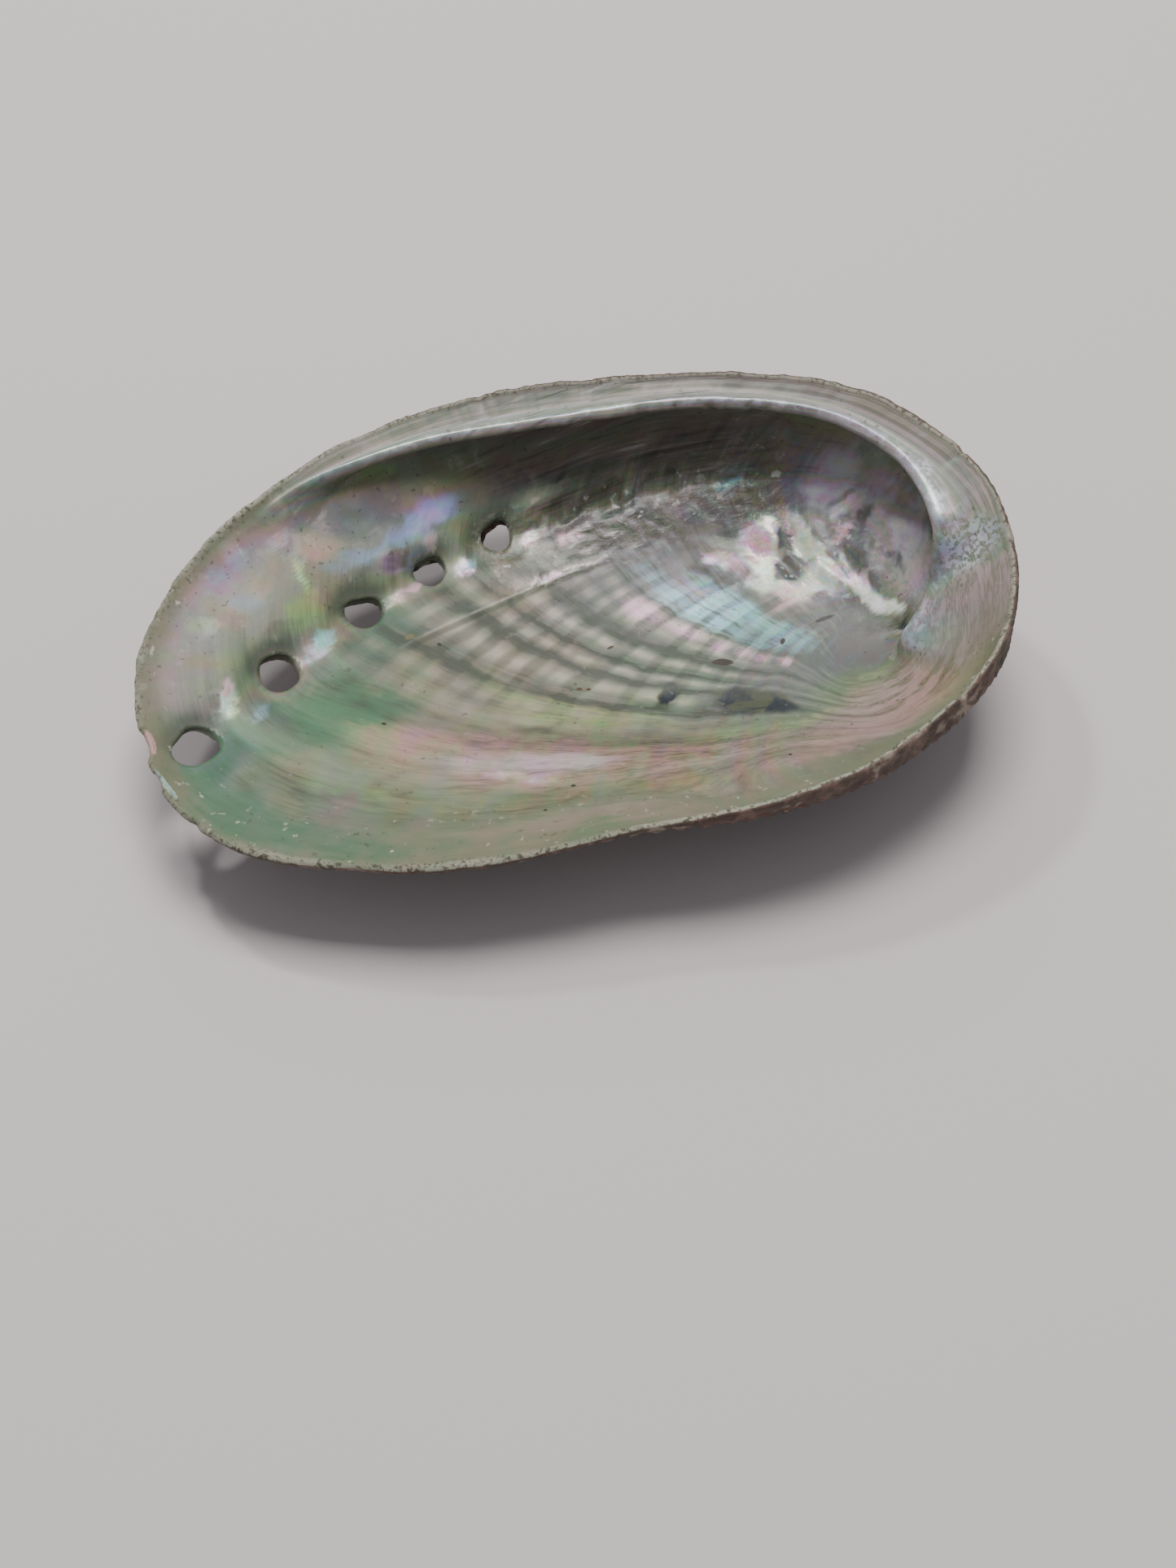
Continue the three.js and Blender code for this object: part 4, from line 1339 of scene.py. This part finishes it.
def crustColour(tree, fact, pattern):
    look = crustLook
    fine, patchy, bands = pattern["fine"], pattern["patchy"], pattern["bands"]
    colour = tree.lay(tone(*look["base"]), tree.step(0.4, 0.62, bands * 0.45 + patchy * 0.55), look["band"])
    colour = tree.lay(colour, tree.step(0.55, 0.35, pattern["thin"]), look["line"])
    colour = tree.lay(colour, tree.step(0.52, 0.4, fine), look["line"])
    colour = tree.lay(colour, tree.step(0.5, 0.62, patchy + (fine - 0.5) * 0.5), look["rosy"])
    pale = tree.step(0.52, 0.7, pattern["middling"] + (fine - 0.5) * 0.7 + (patchy - 0.5) * 0.3)
    colour = tree.lay(colour, pale, look["pale"])
    rubbedAndHighlight = fact("worn") + tree.step(0.6, 0.75, pattern["broad"]) * 0.8
    worn = tree.step(0.35, 0.8, rubbedAndHighlight + (fine - 0.5) * 0.5 + (patchy - 0.5) * 1.6)
    bare = tree.lay(tone(*look["pearlWorn"]), tree.step(0.42, 0.6, bands), look["wornRose"])
    return tree.mix(worn * 0.9, colour, bare), worn


def shellPattern(tree, place, fact):
    # the uneven patterns that the finish is drawn from
    found = {name: tree.noise(place, *patterns[name]) for name in ("broad", "middling", "fine", "patchy")}
    found.update({name: drawn(tree, fact, name) for name in ("bands", "thin")})
    middling, patchy, across = found["middling"], found["patchy"], fact("acrossRow")
    wing = tree.step(-0.03, -0.2, across)  # beyond the holes the mottling is not drawn out
    run = drawn(tree, fact, "drawn")
    run = run + (tree.noise(place, *patterns["mottled"]) - run) * wing
    # cords: coarse ones, and finer ones between them close to the row of holes
    off = across.angle(fact("alongRow"))
    coarse = (off * 28.0 + (2.1 + (middling - 0.5) * 3.0)).sin() * 0.5 + 0.5
    finer = (off * 68.0 + (middling - 0.5) * 4.0).sin() * 0.5 + 0.5
    cords = coarse + (finer - coarse) * (tree.step(0.75, 0.35, off) * 0.6 + 0.25)
    squeezed = tree.product(place, pearlLook["wrinkleDensity"])
    found.update({
        "drawn": run,
        "loose": (patchy - 0.5) * 0.9 + (run - 0.5) * 0.7,
        "cords": cords,
        "cell": tree.step(0.35, 0.8, cords),
        "wing": wing,
        "round": tree.step(1.5, 2.3, off.absolute()),
        "wrinkles": tree.noise(squeezed, 1.0, 3.0, 29.0, 0.6, 0.8),
    })
    return found


def shellFinish():
    finish = bpy.data.materials.new("abaloneShell")
    finish.use_nodes = True
    nodes = finish.node_tree
    nodes.nodes.clear()
    tree = Tree(nodes)
    known = {}

    def fact(name):
        if name not in known:
            known[name] = tree.add("ShaderNodeAttribute", {"attribute_name": name}, {}, 2)
        return known[name]

    look = pearlLook
    place = tree.add("ShaderNodeTexCoord", {}, {}, 3)
    pattern = shellPattern(tree, place, fact)
    pearl, darkness = pearlColour(tree, place, fact, pattern)
    pearl, edge = edgeColour(tree, place, fact, pattern, pearl)
    crust, worn = crustColour(tree, fact, pattern)
    fine, matt, silverAndHighlight = pattern["fine"], fact("matt"), fact("silverAndHighlight")
    holeWall = tree.step(0.7, 0.1, fact("hole"))
    side = tree.step(0.45, 0.7, fact("outside") + (fine - 0.5) * 0.3) * (1.0 - holeWall * 0.85)
    glow = sum(fact(name) * share for name, share in look["glow"].items())
    glow = (glow * 0.8 + 0.2).smallest(1.0)
    for name, share in look["dull"].items():
        glow = glow * (1.0 - fact(name) * share)
    rough = look["roughness"] + matt * 0.24 + (fine - 0.5) * 0.25 + edge * 0.3 - silverAndHighlight * 0.12
    rough = rough + (1.0 - glow) * 0.25 + fact("ash") * 0.06
    rough = rough + (crustLook["roughness"] - rough) * side * (1.0 - worn * 0.5)
    gloss = glow * (1.0 - side) * (1.0 - matt * 0.75) * (1.0 - edge * 0.8) * (1.0 - darkness * 0.6)
    gloss = gloss + worn * side * 0.5
    grit = tree.noise(place, *patterns["grit"]) * (side + edge)
    height = fine * 0.5 + pattern["thin"] * (0.5 - pattern["wing"] * 0.4) + grit
    rippled = pattern["wrinkles"] * fact("wrinkled") * 2.5 + pattern["patchy"] * silverAndHighlight * 4.0
    height = height + rippled * (1.0 - side)
    bumped = {"Strength": look["bumpStrength"], "Distance": look["bumpDepth"], "Height": height}
    shader = tree.add("ShaderNodeBsdfPrincipled", {}, {
        "Base Color": tree.mix(side, pearl, crust),
        "Roughness": rough,
        "Metallic": gloss * (1.0 - silverAndHighlight * 0.7) * look["metallic"],
        "Coat Weight": gloss * look["coat"],
        "Coat Roughness": look["coatRoughness"],
        "IOR": look["refraction"],
        "Normal": tree.add("ShaderNodeBump", {}, bumped),
    })
    tree.add("ShaderNodeOutputMaterial", {}, {"Surface": shader})
    print("finish of the shell:", len(nodes.nodes), "nodes")
    return finish


applyRelief(shell, shellFinish())

tableLook = {"colour": (214, 206, 206), "roughness": 0.9, "size": 4}


def table():
    bpy.ops.mesh.primitive_plane_add(size=tableLook["size"], location=(0, 0, cadBox[0].z))
    floor = bpy.context.object
    floor.name = "table"
    paper = bpy.data.materials.new("palePaper")
    paper.use_nodes = True
    surface = paper.node_tree.nodes["Principled BSDF"]
    surface.inputs["Base Color"].default_value = tone(*tableLook["colour"])
    surface.inputs["Roughness"].default_value = tableLook["roughness"]
    floor.data.materials.append(paper)
    print("table:", paper.name)


# place, width, depth, power in watts, colour
lamps = {
    "overhead": ((0.08, 0.2, 0.88), 0.42, 0.36, 7.3, (1.0, 0.98, 0.95)),
    "far window": ((0.12, 0.75, 0.55), 0.22, 0.1, 0.4, (0.93, 0.97, 1.0)),
    "small": ((-0.2, 0.45, 0.7), 0.07, 0.07, 1.8, (1.0, 1.0, 1.0)),
}
lampsAim = (0, 0, 0.01)
skyLook = {"Color": (0.9, 0.94, 1.0, 1), "Strength": 0.31}


def lights():
    world = bpy.data.worlds.new("studio")
    bpy.context.scene.world = world
    world.use_nodes = True
    for name, value in skyLook.items():
        world.node_tree.nodes["Background"].inputs[name].default_value = value
    for name, (place, width, depth, power, colour) in lamps.items():
        data = bpy.data.lights.new(name, "AREA")
        data.shape = "RECTANGLE"
        data.size, data.size_y = width, depth
        data.energy = power
        data.color = colour
        lamp = bpy.data.objects.new(name, data)
        lamp.location = place
        aim = Vector(lampsAim) - Vector(place)
        lamp.rotation_euler = aim.to_track_quat("-Z", "Y").to_euler()
        bpy.context.scene.collection.objects.link(lamp)
    print("lights:", ", ".join(lamps))


cameraView = {
    "azimuth": -13,
    "elevation": 48,
    "distance": 0.3,  # from the target, metres
    "lens": 54,
    "target": (0.0003, 0.0003, 0.012),
    "frame": (1445, 1927),  # width and height
    "across": 705,  # where the target stands in the frame
    "down": 775,
}


def camera():
    c = cameraView
    data = bpy.data.cameras.new("camera")
    data.lens = c["lens"]
    eye = bpy.data.objects.new("camera", data)
    a, e = math.radians(c["azimuth"]), math.radians(c["elevation"])
    back = Vector((math.sin(a) * math.cos(e), -math.cos(a) * math.cos(e), math.sin(e)))
    target = Vector(c["target"])
    eye.location = target + back * c["distance"]
    wide, high = c["frame"]
    longSide = data.sensor_width / c["lens"]
    aimX = (c["across"] / wide - 0.5) * longSide * wide / high
    aimY = (0.5 - c["down"] / high) * longSide
    forward = -back
    # turn the camera until the target stands where it should
    for _ in range(20):
        right = forward.cross(Vector((0, 0, 1))).normalized()
        up = right.cross(forward)
        seen = target - eye.location
        depth = seen.dot(forward)
        turnRight = aimX - seen.dot(right) / depth
        turnUp = aimY - seen.dot(up) / depth
        forward = (forward - right * turnRight - up * turnUp).normalized()
    eye.rotation_euler = forward.to_track_quat("-Z", "Y").to_euler()
    bpy.context.scene.collection.objects.link(eye)
    bpy.context.scene.camera = eye
    print("camera:", c["lens"], "mm lens")


camera()
table()
lights()

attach(shell, "root")
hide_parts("shell")
